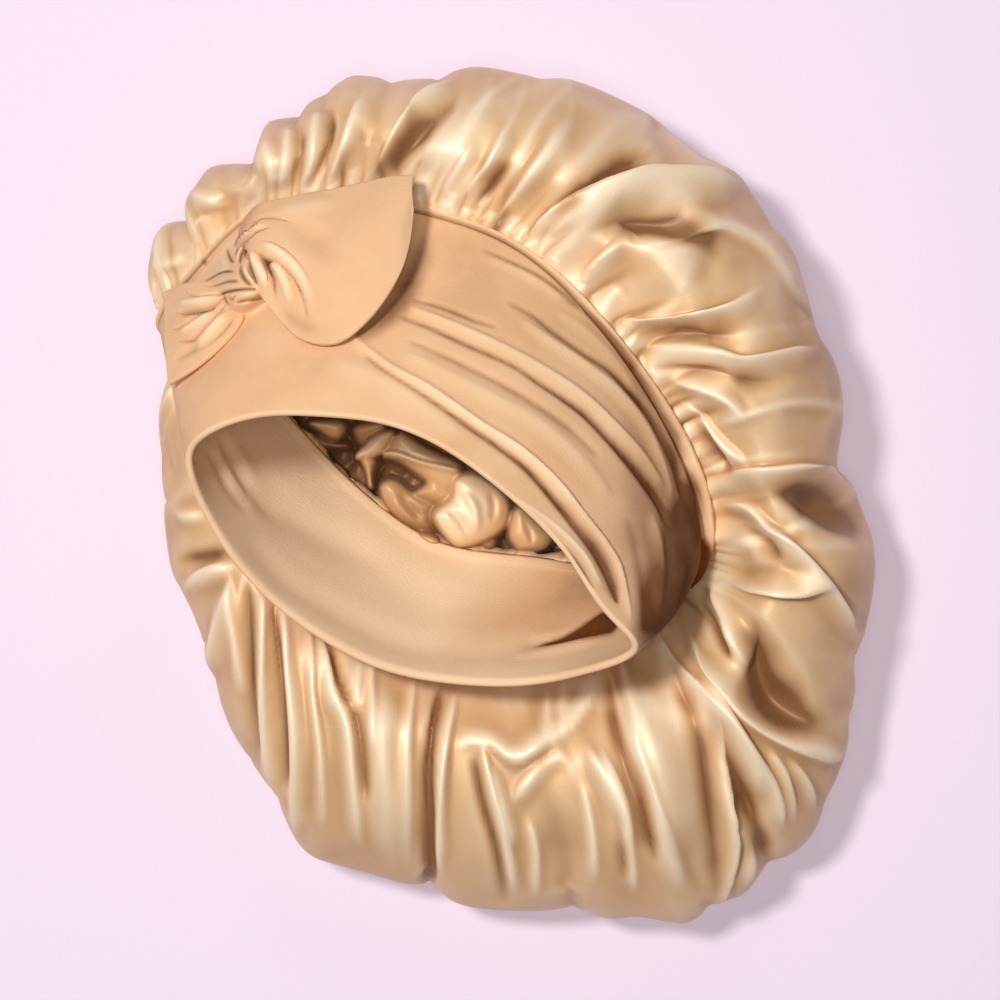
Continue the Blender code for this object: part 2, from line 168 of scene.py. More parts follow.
# The crown's outline from above, clockwise from the left.  Each row is one puff from the notch
# before it on, and ends at the next row's first point.
OUTLINE = [
    ((-123, 60), (-124, 69), (-129.5, 77.5), (-130.6, 84), (-128, 92), (-124, 97.5), (-117, 99)),
    ((-110.8, 99.1), (-116.5, 104.5), (-115.7, 107.4), (-110.5, 116), (-106.5, 119), (-98, 119.6)),
    ((-92.1, 119.3), (-90.8, 121), (-88.6, 129.5), (-86.3, 134.5), (-79.5, 135.6)),
    ((-75.2, 135.9), (-70.8, 141)),
    ((-64, 144), (-62.2, 146.4), (-56.4, 150), (-50.7, 150), (-46.2, 149.4)),
    ((-42.7, 147.6), (-37, 148.7), (-29.4, 148.9)),
    ((-25.4, 148.7), (-19.7, 151.7), (-12.8, 153.2), (-6.1, 152.7), (1.6, 151.2)),
    ((11.3, 149.1), (18.4, 148.7), (25.8, 146.5), (38.7, 141), (48.8, 135.6), (53.4, 131.3)),
    ((62.5, 124.4), (71.8, 119.8), (80.9, 114.8), (85.6, 107.8), (92, 97.8), (97.5, 92.3),
        (102.1, 84), (103.9, 74.7)),
    ((107.2, 64.6), (111.3, 57.3), (115.9, 48.1), (117.7, 38.9), (118.7, 27), (118.2, 19.5)),
    ((117.5, 9.4), (120.4, 6.5), (124.9, -2), (128.8, -13.3), (130.3, -24.5), (129.4, -35.7)),
    ((126, -51.6), (124.3, -58.3), (123.5, -69.6), (121.5, -78.6), (121, -87.6), (118, -97.7)),
    ((115.2, -104.6), (113, -108.9), (110.8, -116.8), (106.8, -123.7), (101.1, -128.7)),
    ((93.2, -131.6), (90, -135.9), (84.2, -142.8), (78.7, -144.9)),
    ((70.8, -147.3), (68.5, -150.7), (62.9, -153.5), (57.1, -152.9), (45.9, -151.3),
        (35.9, -151.8), (29, -150)),
    ((23.5, -147.3), (17.8, -148.5), (8, -149), (-1, -148.6), (-11, -147.8), (-19.4, -146),
        (-24.7, -142.4)),
    ((-28.7, -138.8), (-38.1, -139), (-49.2, -135.9), (-61.9, -132.3), (-70.5, -129.8),
        (-75.5, -125.7), (-78.9, -120.4)),
    ((-83.6, -111), (-87.5, -104), (-94.3, -93.4), (-100.2, -84.7), (-104.5, -73.8),
        (-108, -60.9), (-113, -46.5)),
    ((-118.1, -33.8), (-121.4, -28), (-123.5, -16), (-124.8, -4.7), (-126.4, 16.9),
        (-125.3, 31.3), (-122, 38.6), (-121, 50)),
]

# Folds of the satin as lines seen from above.  "lean" tips a fold's top to one side, "sharp"
# goes from 0, a soft swell, to 1, a pressed crease.  Each point of a line is
# (x, y, half width, height), up for a ridge and down for a valley.
#    name          lean sharp line
CREASES = [
    ("ruffle_gap_ab", 0, 0.5, ((-103, 99, 5, -1.5), (-108, 99, 6, -3), (-114, 99, 6, -3.5))),
    ("ruffle_gap_bc", 0, 0.5, ((-87, 106, 5, -1.5), (-89, 112, 6, -2.5), (-93, 120, 6, -3))),
    ("ruffle_a_ridge", 0, 0.5, ((-108, 83, 4, 2), (-117, 83, 5, 4), (-128, 82, 6, 4))),
    ("ruffle_b_ridge", 0, 0.5, ((-98, 100, 4, 2), (-105, 104, 5, 4), (-117, 109, 6, 4))),
    ("ruffle_c_ridge", 0, 0.5, ((-82, 105, 4, 2), (-83, 115, 6, 4), (-87, 127, 7, 4))),
    ("pleat_c1", 0, 0.7, ((-80, 106, 3, 2), (-78, 117, 4, 4), (-77, 132, 6, 3))),
    ("pleat_c1_dark", 0, 0.7, ((-77, 105, 3, -3), (-74, 117, 4, -4), (-73, 129, 5, -3))),
    ("pleat_c2", 0, 0.7, ((-74, 106, 3, 2), (-68, 121, 5, 4), (-67, 138, 6, 2))),
    ("pleat_c2_dark", 0, 0.7, ((-71, 105, 3, -3), (-64, 121, 4, -5), (-63, 136, 6, -6))),
    ("pleat_d", 0.3, 0.6, ((-64, 107, 4, 2), (-56, 124, 7, 4), (-50, 142, 8, 4))),
    ("ridge_top", 0.5, 0.5, ((-50, 109, 5, 3), (-43, 117, 7, 5), (-35, 127, 8, 6), (-27, 136, 8, 5),
        (-19, 147, 8, 3))),
    ("valley_top", 0, 0.5, ((-44, 108, 5, -3), (-36, 118, 6, -5), (-27, 129, 7, -6),
        (-17, 140, 7, -3))),
    ("y_ridge_left", 0.3, 0.6, ((-25, 103, 4, 2), (-17, 114, 6, 3), (-12, 123, 6, 2))),
    ("y_ridge_right", 0.3, 0.6, ((-18, 101, 5, 3), (-11, 110, 6, 5), (-5, 117, 6, 5),
        (0, 129, 7, 3))),
    ("y_valley", 0, 0.6, ((-12, 101, 4, -2), (-5, 109, 5, -4), (0, 118, 6, -3))),
    ("ridge_mid_top", 0.3, 0.5, ((-4, 96, 4, 2), (5, 108, 6, 4), (14, 120, 8, 3), (21, 132, 9, 2))),
    ("long_ridge", 0.6, 0.5, ((5, 90, 4, 3), (18, 99, 7, 6), (31, 105, 8, 6), (45, 108, 9, 6),
        (62, 109, 9, 5), (84, 110, 9, 3))),
    ("long_valley", 0, 0.4, ((14, 94, 5, -3), (22, 101, 7, -4), (35, 111, 9, -5),
        (50, 122, 10, -3))),
    ("hollow", 0, 0.3, ((26, 91, 6, -5), (35, 93, 9, -9), (48, 95, 10, -10), (62, 93, 10, -8),
        (71, 91, 8, -4))),
    ("dome_top_ridge", -0.5, 0.5, ((44, 87, 5, 2), (56, 90, 7, 4), (70, 94, 7, 5), (79, 92, 8, 5),
        (89, 86, 8, 4), (98, 73, 8, 3), (109, 63, 7, 2))),
    ("dome", 0, 0, ((49, 78, 16, 5), (62, 79, 20, 6))),
    ("dome_left_ridge", 0.4, 0.6, ((23, 73, 4, 3), (32, 82, 6, 5), (41, 90, 6, 3))),
    ("dome_low_ridge", 0.6, 0.6, ((34, 61, 5, 4), (48, 60, 7, 6), (62, 61, 7, 6), (76, 65, 7, 5),
        (87, 74, 7, 2))),
    ("strip_valley", 0, 0.4, ((39, 55, 5, -4), (55, 56, 7, -6), (69, 55, 8, -6), (87, 57, 9, -3))),
    ("second_ridge", 0.5, 0.6, ((43, 50, 5, 4), (56, 51, 6, 5), (70, 49, 7, 6), (80, 46, 7, 6),
        (92, 48, 7, 5), (108, 52, 7, 3))),
    ("third_valley", 0, 0.5, ((48, 45, 4, -4), (65, 43, 6, -5), (80, 40, 8, -5), (97, 39, 9, -2))),
    ("puff_ridge", 0.4, 0.6, ((53, 40, 5, 4), (65, 38, 7, 6), (76, 32, 9, 6), (84, 23, 10, 4))),
    ("diagonal_ridge", 0.5, 0.7, ((58, 34, 4, 4), (68, 25, 6, 6), (77, 16, 6, 6), (84, 9, 6, 4))),
    ("diagonal_valley", 0, 0.6, ((63, 27, 4, -4), (71, 16, 6, -7), (78, 7, 6, -6))),
    ("notch_ridge", 0.5, 0.6, ((75, 9, 5, 4), (88, 8, 7, 6), (101, 9, 8, 7), (118, 7, 7, 4))),
    ("notch_hollow", 0, 0.3, ((92, 1, 6, -4), (105, -2, 11, -10), (119, -8, 12, -8),
        (130, -17, 10, -3))),
    ("edge_ridge", 0.5, 0.7, ((74, -4, 5, 5), (83, -4, 6, 6), (91, -12, 7, 6), (100, -21, 7, 6),
        (110, -33, 7, 5), (123, -51, 7, 3))),
    ("edge_shadow", 0, 0.5, ((82, -10, 5, -4), (88, -16, 7, -6), (96, -24, 7, -4))),
    ("low_puff", 0, 0, ((80, -22, 10, 4), (94, -23, 14, 5))),
    ("level_ridge", -0.4, 0.6, ((77, -31, 5, 4), (87, -32, 7, 6), (101, -32, 8, 6),
        (113, -31, 8, 3))),
    ("tongue", 0, 0.7, ((72, -31, 4, 4), (77, -43, 5, 6), (80, -54, 5, 6), (83, -63, 4, 2))),
    ("tongue_dark", 0, 0.7, ((68, -37, 3, -3), (72, -47, 4, -5), (77, -58, 4, -4))),
    ("deep_fold", 0, 0.3, ((84, -40, 8, -6), (86, -54, 12, -11), (91, -68, 14, -14),
        (102, -78, 13, -14), (114, -80, 11, -8))),
    ("deep_lip", -0.25, 0.6, ((65, -54, 4, 3), (74, -66, 6, 6), (84, -77, 7, 8), (98, -85, 7, 8),
        (109, -90, 7, 6), (121, -94, 7, 3))),
    ("nape_ridge", 0.3, 0.6, ((49, -46, 4, 3), (58, -62, 6, 6), (69, -71, 7, 6), (81, -91, 9, 5),
        (88, -111, 9, 3))),
    ("nape_valley", 0, 0.5, ((53, -54, 4, -3), (61, -71, 7, -6), (67, -89, 9, -7),
        (71, -114, 10, -5), (73, -141, 9, -3))),
    ("nape_broad", 0, 0.2, ((42, -59, 8, 3), (46, -77, 12, 6), (54, -103, 14, 6),
        (60, -132, 12, 3))),
    ("nape_fine", 0, 0.7, ((38, -55, 3, 2), (42, -72, 4, 3), (45, -89, 4, 1))),
    ("nape_line", 0.4, 0.8, ((34, -61, 2, 1.5), (37, -71, 2.5, 2.5), (41, -82, 2, 1.5))),
    ("low_ridge", 0.4, 0.7, ((31, -88, 3, 2), (36, -98, 4, 3.5), (40, -109, 4, 4),
        (42, -125, 4, 3.5), (44, -141, 4, 2))),
    ("low_ridge_left", 0, 0.6, ((36, -108, 3, -1.5), (39, -124, 4, -3), (40, -136, 4, -1.5))),
    ("low_ridge_right", 0, 0.6, ((44, -97, 3, -1.5), (47, -113, 4, -3), (51, -129, 4, -2))),
    ("broad_light", 0.2, 0.4, ((39, -78, 5, 2), (46, -96, 7, 4), (53, -120, 8, 4),
        (62, -141, 7, 2))),
    ("dark_valley", 0, 0.3, ((68, -74, 4, -3), (76, -92, 7, -7), (83, -108, 8, -8),
        (87, -120, 7, -5))),
    ("dark_valley_edge", 0.7, 0.8, ((71, -76, 3, 2.5), (74, -92, 3, 4), (77, -107, 3, 4.5),
        (79, -125, 3, 4), (77, -137, 3, 3), (74, -147, 3, 2))),
    ("tongue_low", 0, 0.6, ((86, -123, 4, 3), (84, -132, 5, 3.5), (82, -141, 5, 2))),
    ("light_ridge", 0.4, 0.6, ((62, -47, 3, 2), (70, -64, 4, 4), (80, -84, 5, 4.5),
        (91, -101, 5, 4), (96, -119, 5, 2.5))),
    ("rim_notch_2", 0, 0.5, ((82, -106, 5, -2), (88, -120, 8, -5), (93, -132, 8, -5))),
    ("right_fine_1", 0.3, 0.7, ((97, -92, 3, 1.5), (103, -100, 4, 3), (108, -112, 4, 2))),
    ("right_fine_2", 0.3, 0.7, ((90, -88, 3, 1.5), (96, -99, 4, 3), (100, -116, 4, 2))),
    ("bottom_fine_1", 0.3, 0.7, ((6, -112, 3, 1.5), (9, -124, 4, 3), (9, -142, 4, 2))),
    ("bottom_fine_2", 0.3, 0.7, ((25, -100, 3, 1.5), (28, -115, 4, 3), (30, -136, 4, 2))),
    ("left_fine_1", 0.3, 0.7, ((-34, -62, 3, 1.5), (-36, -84, 4, 3), (-36, -106, 4, 2),
        (-37, -132, 4, 1))),
    ("left_fine_2", 0, 0.7, ((-49, -55, 3, 1.5), (-49, -70, 3, 3), (-48, -88, 3, 2))),
    ("left_fine_3", 0.3, 0.7, ((-71, -46, 3, 1.5), (-70, -66, 3, 3), (-67, -90, 4, 3),
        (-66, -118, 4, 1))),
    ("left_fine_4", 0.3, 0.7, ((-100, -27, 3, 1.5), (-98, -48, 4, 3), (-95, -72, 4, 2))),
    ("low_valley", 0, 0.5, ((34, -61, 4, -3), (36, -80, 6, -5), (45, -107, 8, -4),
        (50, -128, 8, -2))),
    ("curl_ridge", 0.4, 0.7, ((30, -62, 4, 4), (27, -71, 5, 6), (20, -80, 6, 6), (11, -86, 6, 6),
        (2, -91, 6, 5), (-6, -86, 5, 5), (-13, -85, 5, 4), (-21, -88, 4, 3))),
    ("curl_shade", 0, 0.3, ((24, -85, 5, -2), (14, -93, 8, -3), (3, -98, 7, -2))),
    ("thin_ridge_1", 0.3, 0.8, ((-10, -87, 3, 3), (-7, -102, 4, 5), (-2, -120, 5, 5),
        (2, -140, 5, 2))),
    ("thin_valley_1", 0, 0.8, ((-13, -91, 3, -3), (-10, -107, 4, -4), (-5, -125, 5, -4),
        (-2, -144, 5, -2))),
    ("thin_ridge_2", 0, 0.8, ((-7, -93, 3, 2), (-2, -109, 4, 4), (2, -124, 4, 3))),
    ("branch_ridge", 0.3, 0.7, ((0, -108, 4, 3), (10, -96, 5, 5), (23, -87, 5, 3))),
    ("far_v", 0, 0.2, ((12, -103, 8, -1.5), (17, -120, 13, -3), (21, -144, 13, -2))),
    ("far_ridge_a", 0.3, 0.6, ((26, -86, 4, 2), (32, -98, 6, 4), (38, -111, 7, 4),
        (41, -128, 7, 2))),
    ("far_small_1", 0, 0.7, ((13, -66, 3, 2), (13, -76, 4, 3), (10, -84, 4, 2))),
    ("far_small_2", 0, 0.7, ((20, -65, 3, 2), (18, -73, 4, 3), (16, -80, 4, 1))),
    ("front_crease", 0, 0.8, ((-24, -66, 3, -4), (-26, -77, 4, -6), (-29, -93, 5, -7),
        (-29, -115, 6, -7), (-29, -141, 6, -5))),
    ("front_crease_lit", 0.3, 0.7, ((-19, -69, 4, 3), (-23, -86, 5, 5), (-25, -107, 6, 5),
        (-25, -134, 6, 3))),
    ("front_broad", 0, 0.1, ((-44, -62, 8, 3), (-45, -82, 12, 5), (-43, -107, 13, 5),
        (-41, -133, 11, 3))),
    ("front_ridge_1", 0.3, 0.6, ((-68, -48, 4, 3), (-64, -66, 5, 5), (-58, -79, 6, 5),
        (-56, -96, 6, 5), (-53, -125, 6, 2))),
    ("front_valley_1", 0, 0.6, ((-63, -51, 3, -3), (-60, -63, 4, -4), (-53, -82, 6, -5),
        (-50, -107, 6, -4))),
    ("front_branch", 0, 0.7, ((-53, -56, 3, 2), (-54, -68, 4, 3), (-56, -78, 4, 2))),
    ("front_ridge_2", 0, 0.7, ((-81, -41, 3, 3), (-78, -61, 4, 5), (-75, -86, 5, 5),
        (-76, -121, 5, 2))),
    ("front_valley_2", 0, 0.6, ((-84, -36, 3, -3), (-82, -54, 5, -6), (-81, -79, 6, -5),
        (-79, -104, 6, -3))),
    ("front_ridge_3", 0.3, 0.6, ((-88, -33, 4, 3), (-88, -54, 5, 5), (-87, -82, 6, 5),
        (-83, -108, 6, 2))),
    ("front_valley_3", 0, 0.5, ((-93, -30, 4, -3), (-93, -51, 7, -5), (-92, -75, 8, -4),
        (-90, -97, 8, -2))),
    ("left_ridge", -0.3, 0.5, ((-96, -24, 4, 3), (-106, -27, 6, 5), (-118, -33, 6, 4))),
    ("left_valley", 0, 0.5, ((-100, -19, 4, -2), (-109, -21, 6, -4), (-120, -23, 6, -3))),
    ("left_ridge_2", 0, 0.5, ((-108, -8, 4, 2), (-114, -7, 5, 3), (-122, -4, 5, 2))),
    ("left_ridge_3", 0, 0.5, ((-99, -29, 4, 2), (-103, -47, 6, 4), (-108, -66, 7, 3))),
]

# Folds of the band's outer face on the side that looks up, in the same form
BAND_CREASES = [
    ("overlap", 0.4, 0.6, ((-58, 57, 3, 0.5), (-42, 44, 3.6, 1.0), (-28, 36, 4, 1.4),
        (-10, 23.5, 4, 1.8), (-1, 18, 4, 2.0), (8, 11, 4, 2.2), (16, 3, 3.6, 2.2),
        (23, -6, 3.2, 2.2), (30, -15, 3, 2.0), (35, -23, 2.8, 1.8), (38, -33, 2.6, 1.2),
        (40, -43, 2.4, 0.8))),
    ("overlap_under", 0, 0.8, ((-50, 48, 1.6, -0.6), (-44, 42.5, 1.8, -0.9), (-29, 33, 2.0, -1.2),
        (-13, 22, 2.0, -1.6), (-4, 16, 2.2, -2.0), (5, 9, 2.4, -2.2), (13, 0, 2.4, -2.4),
        (20, -9, 2.4, -2.4), (27, -18, 2.4, -2.4), (32, -27, 2.2, -2.2), (36, -38, 2.0, -1.4))),
    ("hem_line", 0.3, 0.7, ((-4, 1, 1.6, 0.4), (6, -4, 2, 1.0), (16, -11.5, 2, 1.4),
        (24, -20, 2, 1.5), (30, -31, 1.8, 1.0))),
    ("hem_line_under", 0, 0.8, ((6, -7.4, 1.2, -0.5), (15, -15, 1.5, -1.2), (22, -23, 1.6, -1.4),
        (27.6, -32.4, 1.4, -1.0))),
    ("nape_fold_under", 0, 0.4, ((38, -6, 2.6, -0.2), (41, -15, 3, -0.5), (43, -25, 3, -0.6),
        (44, -36, 2.6, -0.5), (44, -48, 2, -0.2))),
    ("nape_fold", 0.2, 0.4, ((46, -4, 3, 0.5), (49, -15, 4, 1.0), (50, -26, 4, 1.2),
        (49, -38, 3.4, 0.8), (46, -48, 3, 0.3))),
    ("line_a", 0, 0.8, ((-11, 84.7, 1.4, -0.4), (-0.5, 80.4, 1.6, -0.8), (9.4, 75.6, 1.8, -1.0),
        (18, 69.4, 1.8, -1.0), (24, 64.2, 1.6, -0.5))),
    ("line_a_roll", 0.2, 0.4, ((-9, 82, 2.4, 0.4), (1, 77.6, 2.8, 0.8), (10, 72.8, 3, 0.9),
        (19, 66, 2.6, 0.5))),
    ("line_b", 0, 0.7, ((-2, 66.3, 1.6, -0.4), (6.8, 61.8, 2, -0.8), (14.6, 55.7, 2.2, -1.1),
        (25.9, 47.9, 2.4, -1.3), (32.9, 43.5, 2.4, -1.4), (38.2, 38.3, 2.4, -1.5),
        (45.2, 30.5, 2.6, -1.7), (50.5, 22.7, 2.8, -1.8), (55.8, 12.2, 3, -1.8),
        (59.4, -1.7, 3, -1.2))),
    ("line_b_roll", 0.3, 0.4, ((2, 61, 3, 0.4), (12, 53.6, 3.6, 0.9), (24, 45.4, 4, 1.1),
        (35, 37, 4, 1.2), (45, 25, 4, 1.2), (51, 12, 4, 1.1), (55, -2, 3.4, 0.6))),
    ("line_c", 0, 0.6, ((17, 68, 1.6, -0.4), (27, 62, 2, -0.8), (36, 53, 2, -0.9),
        (44, 43, 2, -0.6))),
    ("line_c_roll", 0.2, 0.3, ((14, 64, 3, 0.4), (25, 57, 3.6, 0.8), (35, 47, 3.6, 0.8),
        (43, 36, 3, 0.4))),
    ("line_d", 0, 0.8, ((-38.4, 60.9, 1.6, -0.6), (-27.8, 57.1, 1.8, -1.0), (-16.5, 51.9, 2, -1.1),
        (-6, 47.4, 2, -1.1), (2, 43.4, 2, -1.1), (9.4, 38.2, 2.1, -1.3), (17.2, 33, 2.2, -1.5),
        (24.1, 27.8, 2.4, -1.7), (30.2, 21.7, 2.6, -1.8), (38, 13, 2.8, -1.9), (45, 4.3, 3, -1.9),
        (50.2, -3.4, 3, -1.6), (53.5, -12, 3, -1.0))),
    ("line_d_roll", 0.3, 0.4, ((-36, 64.4, 2.6, 0.6), (-26, 60.6, 3, 1.0), (-14, 55.6, 3.4, 1.1),
        (0, 49, 3.6, 1.1), (12, 42, 3.8, 1.2), (24, 33.6, 4, 1.4), (36, 22, 4.2, 1.5),
        (45, 12, 4, 1.3), (52, 1, 3.6, 0.7))),
    ("line_e", 0, 0.7, ((-34.6, 66.8, 1.4, -0.5), (-24, 64.4, 1.7, -0.9), (-14, 60.4, 1.8, -0.9),
        (-4, 57, 1.6, -0.5))),
    ("line_f", 0, 0.6, ((-36, 53, 2, -0.5), (-20, 46, 2.4, -0.9), (-4, 38, 2.6, -1.0),
        (8, 31, 2.6, -1.0), (20, 22, 2.6, -0.9), (30, 12, 2.6, -0.5))),
    ("line_f_roll", 0.2, 0.2, ((-38, 49, 4, 0.5), (-22, 41, 5, 0.9), (-6, 33, 5, 1.0),
        (10, 24, 5, 1.0), (24, 11, 4.6, 0.8), (34, -2, 4, 0.4))),
    ("fold_a", 0.2, 0.2, ((-65, 46, 8, 0.5), (-44, 39, 8, 0.8), (-27, 28, 7, 0.8),
        (-14, 17, 5, 0.5))),
    ("knot_hook", 0, 0.6, ((-108, 85, 2, -0.6), (-107, 82, 2, -1.0), (-104, 81, 2, -0.8))),
]

# Painted shade and painted light: where the cloth is painted darker, in shadowed hollows, at the
# nape and under the tie end, or lighter, on the nape's lip, than its folds alone make it: lines in
# the same form, with a tone in place of the height.  Tones add up, and count from -1 to 1.
BAND_PAINTED_SHADES = [
    ("nape_dark", 0, 0, ((68, 20, 3, -0.6), (66, 8, 7, -1.3), (63, -6, 13, -1.8),
        (60, -20, 17, -2.0), (54, -33, 16, -2.0), (46, -44, 12, -1.6), (36, -52, 8, -0.9))),
    ("nape_soft", 0, 0, ((38, 36, 8, -0.15), (46, 16, 16, -0.35), (50, -4, 20, -0.50),
        (46, -24, 20, -0.55), (38, -40, 10, -0.40))),
    ("overlap_soft", 0, 0, ((14, 2, 4, -0.2), (24, -10, 5, -0.5), (31, -24, 5, -0.7),
        (35, -38, 4, -0.6))),
    ("under_tail", 0, 0, ((-28, 92, 6, -0.5), (-33, 78, 7, -0.7), (-38, 66, 7, -0.8),
        (-47, 57, 6, -0.7), (-60, 52, 4, -0.4))),
    ("nape_lip", 0, 0, ((58, 24, 3, 0.6), (64, 10, 4, 1.6), (67.6, -1, 4.5, 2.2),
        (69, -12, 4.5, 2.2), (68, -20, 4, 1.2))),
    ("lip_soft", 0, 0, ((20, 64, 6, -0.15), (40, 44, 8, -0.30), (54, 22, 9, -0.40),
        (62, 4, 9, -0.50))),
]
INNER_PAINTED_SHADES = [
    ("nape_slit", 0, 0, ((8, -53, 1.2, -1.0), (18, -51.6, 2.6, -2.6), (27, -49, 4.4, -3.8),
        (34, -46, 5.6, -4.0), (38, -43.6, 6, -4.0), (41, -41.6, 6, -3.4))),
    ("nape_inner", 0, 0, ((-40, -48, 16, -0.25), (-14, -46, 24, -0.6), (8, -40, 28, -1.0),
        (26, -34, 28, -1.3), (42, -32, 26, -1.4), (80, -32, 26, -1.4))),
]
SATIN_PAINTED_SHADES = [
    ("under_flap", 0, 0, ((34, 90, 4, -0.7), (46, 93, 6, -1.4), (58, 93, 8, -1.7),
        (67, 89, 8, -1.5), (74, 82, 7, -0.7))),
    ("above_flap", 0, 0, ((14, 96, 4, -0.6), (26, 104, 6, -1.2), (38, 113, 8, -1.2),
        (50, 121, 8, -0.6))),
    ("notch", 0, 0, ((88, 4, 4, -0.5), (100, 1, 8, -1.3), (112, -3, 10, -1.5), (120, -11, 9, -1.2),
        (125, -22, 7, -0.5))),
    ("deep", 0, 0, ((80, -42, 4, -0.5), (84, -56, 7, -0.9), (93, -70, 11, -1.5),
        (104, -78, 13, -1.7), (116, -81, 11, -1.0))),
    ("top_valley", 0, 0, ((-49, 109, 3, -0.8), (-40, 118, 5, -1.3), (-32, 125, 6, -1.3),
        (-24, 134, 5, -0.5))),
    ("right_tan", 0, 0, ((100, 82, 16, -0.3), (108, 50, 22, -0.5), (104, 22, 20, -0.45))),
    ("right_low_tan", 0, 0, ((118, -10, 12, -0.3), (118, -34, 14, -0.4), (110, -54, 14, -0.3))),
    ("dome_tan", 0, 0, ((66, 84, 9, -0.3), (78, 82, 12, -0.5), (90, 74, 12, -0.4))),
    ("top_dark", 0, 0, ((-6, 104, 4, -0.5), (-8, 112, 6, -0.8), (-12, 122, 6, -0.4))),
    ("band_side", 0, 0, ((62, -34, 6, -0.4), (66, -42, 8, -0.5), (70, -50, 8, -0.3))),
]

# Folds of the band's inner face on the near side, seen through the mouth
INNER_CREASES = [
    ("mouth_crease_1", 0, 0.7, ((-107, 17, 2, -0.6), (-103, 11, 2.5, -1.4), (-100, 5, 3, -1.6),
        (-96, -1, 3, -1.2), (-92, -7, 3, -0.5))),
    ("mouth_roll_1", 0, 0.5, ((-105, 18, 2, 0.4), (-101, 10, 2.5, 1.0), (-97, 3, 3, 1.0),
        (-93, -3, 3, 0.6))),
    ("mouth_crease_2", 0, 0.6, ((-103, 22, 3, -0.6), (-100, 16, 3, -1.4), (-95, 6, 4, -1.4),
        (-88, -3, 5, -1.0), (-80, -10, 5, -0.5))),
    ("mouth_roll_2", 0, 0.4, ((-99, 20, 4, 0.5), (-96, 12, 5, 1.0), (-90, 4, 6, 0.8))),
    ("soft_valley", 0, 0.2, ((-91, 9, 6, -0.6), (-82, -5, 9, -1.4), (-72, -12, 9, -1.5),
        (-60, -19, 9, -1.2), (-43, -27, 9, -0.5))),
    ("hem_valley", 0, 0.2, ((-95, -13, 5, -0.5), (-81, -29, 6, -1.4), (-69, -37, 7, -1.6),
        (-56, -45, 8, -1.6), (-39, -53, 8, -1.5), (-18, -56, 8, -1.4), (3, -55, 7, -1.0),
        (17, -51, 5, -0.5))),
    ("middle_swell", 0, 0.1, ((-65, 6, 10, 0.5), (-47, -15, 12, 1.2), (-25, -30, 12, 1.2),
        (-4, -37, 10, 0.6))),
    ("nape_tuck", 0, 0.5, ((3, -52, 2, -0.6), (17, -51, 2.6, -1.6), (27, -48.6, 3.2, -2.6),
        (35, -46, 3.2, -2.4))),
    ("nape_hem_roll", 0, 0.3, ((0, -56, 2, 0.5), (14, -55, 2.4, 1.4), (26, -52, 2.6, 1.6),
        (36, -48, 2, 0.8))),
]

# Satin bunched up on the crown's floor where the mouth lets one see it.  Each heap is an outline
# from above with the height of its middle, its rise to the right and away, and how far its
# edge takes to fall off.
#    name        height rise_x rise_y edge outline
HEAPS = [
    ("corner_upper", 34, -0.10, 0.30, 1.6, ((-73, 27), (-66, 27.5), (-61, 27), (-60, 24.5),
        (-62, 21.5), (-65.5, 21.5), (-69, 24))),
    ("corner_lower", 27, 0.10, 0.20, 1.4, ((-74, 22.5), (-70, 23), (-65, 20.5), (-59, 19.5),
        (-60, 17.5), (-67, 17), (-71, 18.5))),
    ("strip", 40, -0.20, 0.30, 1.2, ((-51, 21), (-46.5, 23.5), (-42.5, 23.5), (-44, 20), (-47, 16),
        (-53, 14), (-56, 14.5), (-54.5, 17), (-52, 19.5))),
    ("strip_back", 31, 0.10, 0.40, 1.2, ((-56, 26), (-46, 27), (-48, 22.5), (-54, 18.5),
        (-56.5, 21))),
    ("triangle", 24, 0.30, 0.20, 1.2, ((-55.5, 13.5), (-59.5, 7.5), (-55.5, 4.5), (-52, 3),
        (-53, 11))),
    ("blade", 33, -0.50, 0.10, 0.9, ((-54, 14.5), (-49, 14), (-49.8, 9), (-49.8, 3.5), (-51.5, 4),
        (-52.7, 9.5))),
    ("shelf", 34, 0.06, 0.34, 1.8, ((-43, 20), (-39.5, 23), (-32, 18.5), (-22, 13.5), (-18, 10.5),
        (-18.5, 6), (-21, 1.5), (-23.5, -3), (-31, -1), (-35, 1.5), (-31, 4.5), (-32, 7),
        (-36.5, 10.5), (-42, 14), (-46, 15))),
    ("shelf_edge", 40, 0.05, 0.50, 0.9, ((-46, 15.6), (-41, 14.6), (-35, 12.4), (-27, 10.2),
        (-20, 9), (-20, 10.6), (-28, 12.4), (-36, 14.8), (-42, 16.6))),
    ("low_lobe", 29, -0.22, 0.16, 2.2, ((-47, 4), (-42, 6), (-37.5, 3), (-34, 1.8), (-26, -1),
        (-24.5, -4), (-27, -6.5), (-27.5, -13), (-34, -13), (-40, -9), (-45, -3.5))),
    ("big_lobe", 38, -0.26, 0.06, 3.2, ((-19, 6.5), (-14, 8), (-7, 4.5), (-1.5, -1), (-1, -7),
        (-5, -13), (-16, -17), (-22, -14.5), (-26, -9), (-26, -5), (-21, -1), (-20, 4))),
    ("right_lobe", 32, -0.20, 0.10, 2.2, ((2.5, -4), (9, -8.5), (15, -14), (12, -19.5), (5, -20.5),
        (1, -17), (-0.5, -12))),
    ("right_foot", 27, 0.00, 0.10, 1.0, ((-11, -16), (-6, -13), (-5, -18), (-9, -20))),
    ("seam_bit", 30, 0.00, -0.20, 0.9, ((-34, -13), (-27, -14), (-26, -17.5), (-31, -17))),
    ("behind_right", 25, 0.10, 0.20, 5.0, ((0, 8), (8, 16), (22, 14), (30, 0), (22, -12), (8, -4))),
    ("behind_left", 28, 0.10, 0.20, 5.0, ((-44, 30), (-30, 38), (-10, 32), (0, 18), (-14, 14),
        (-30, 22))),
]
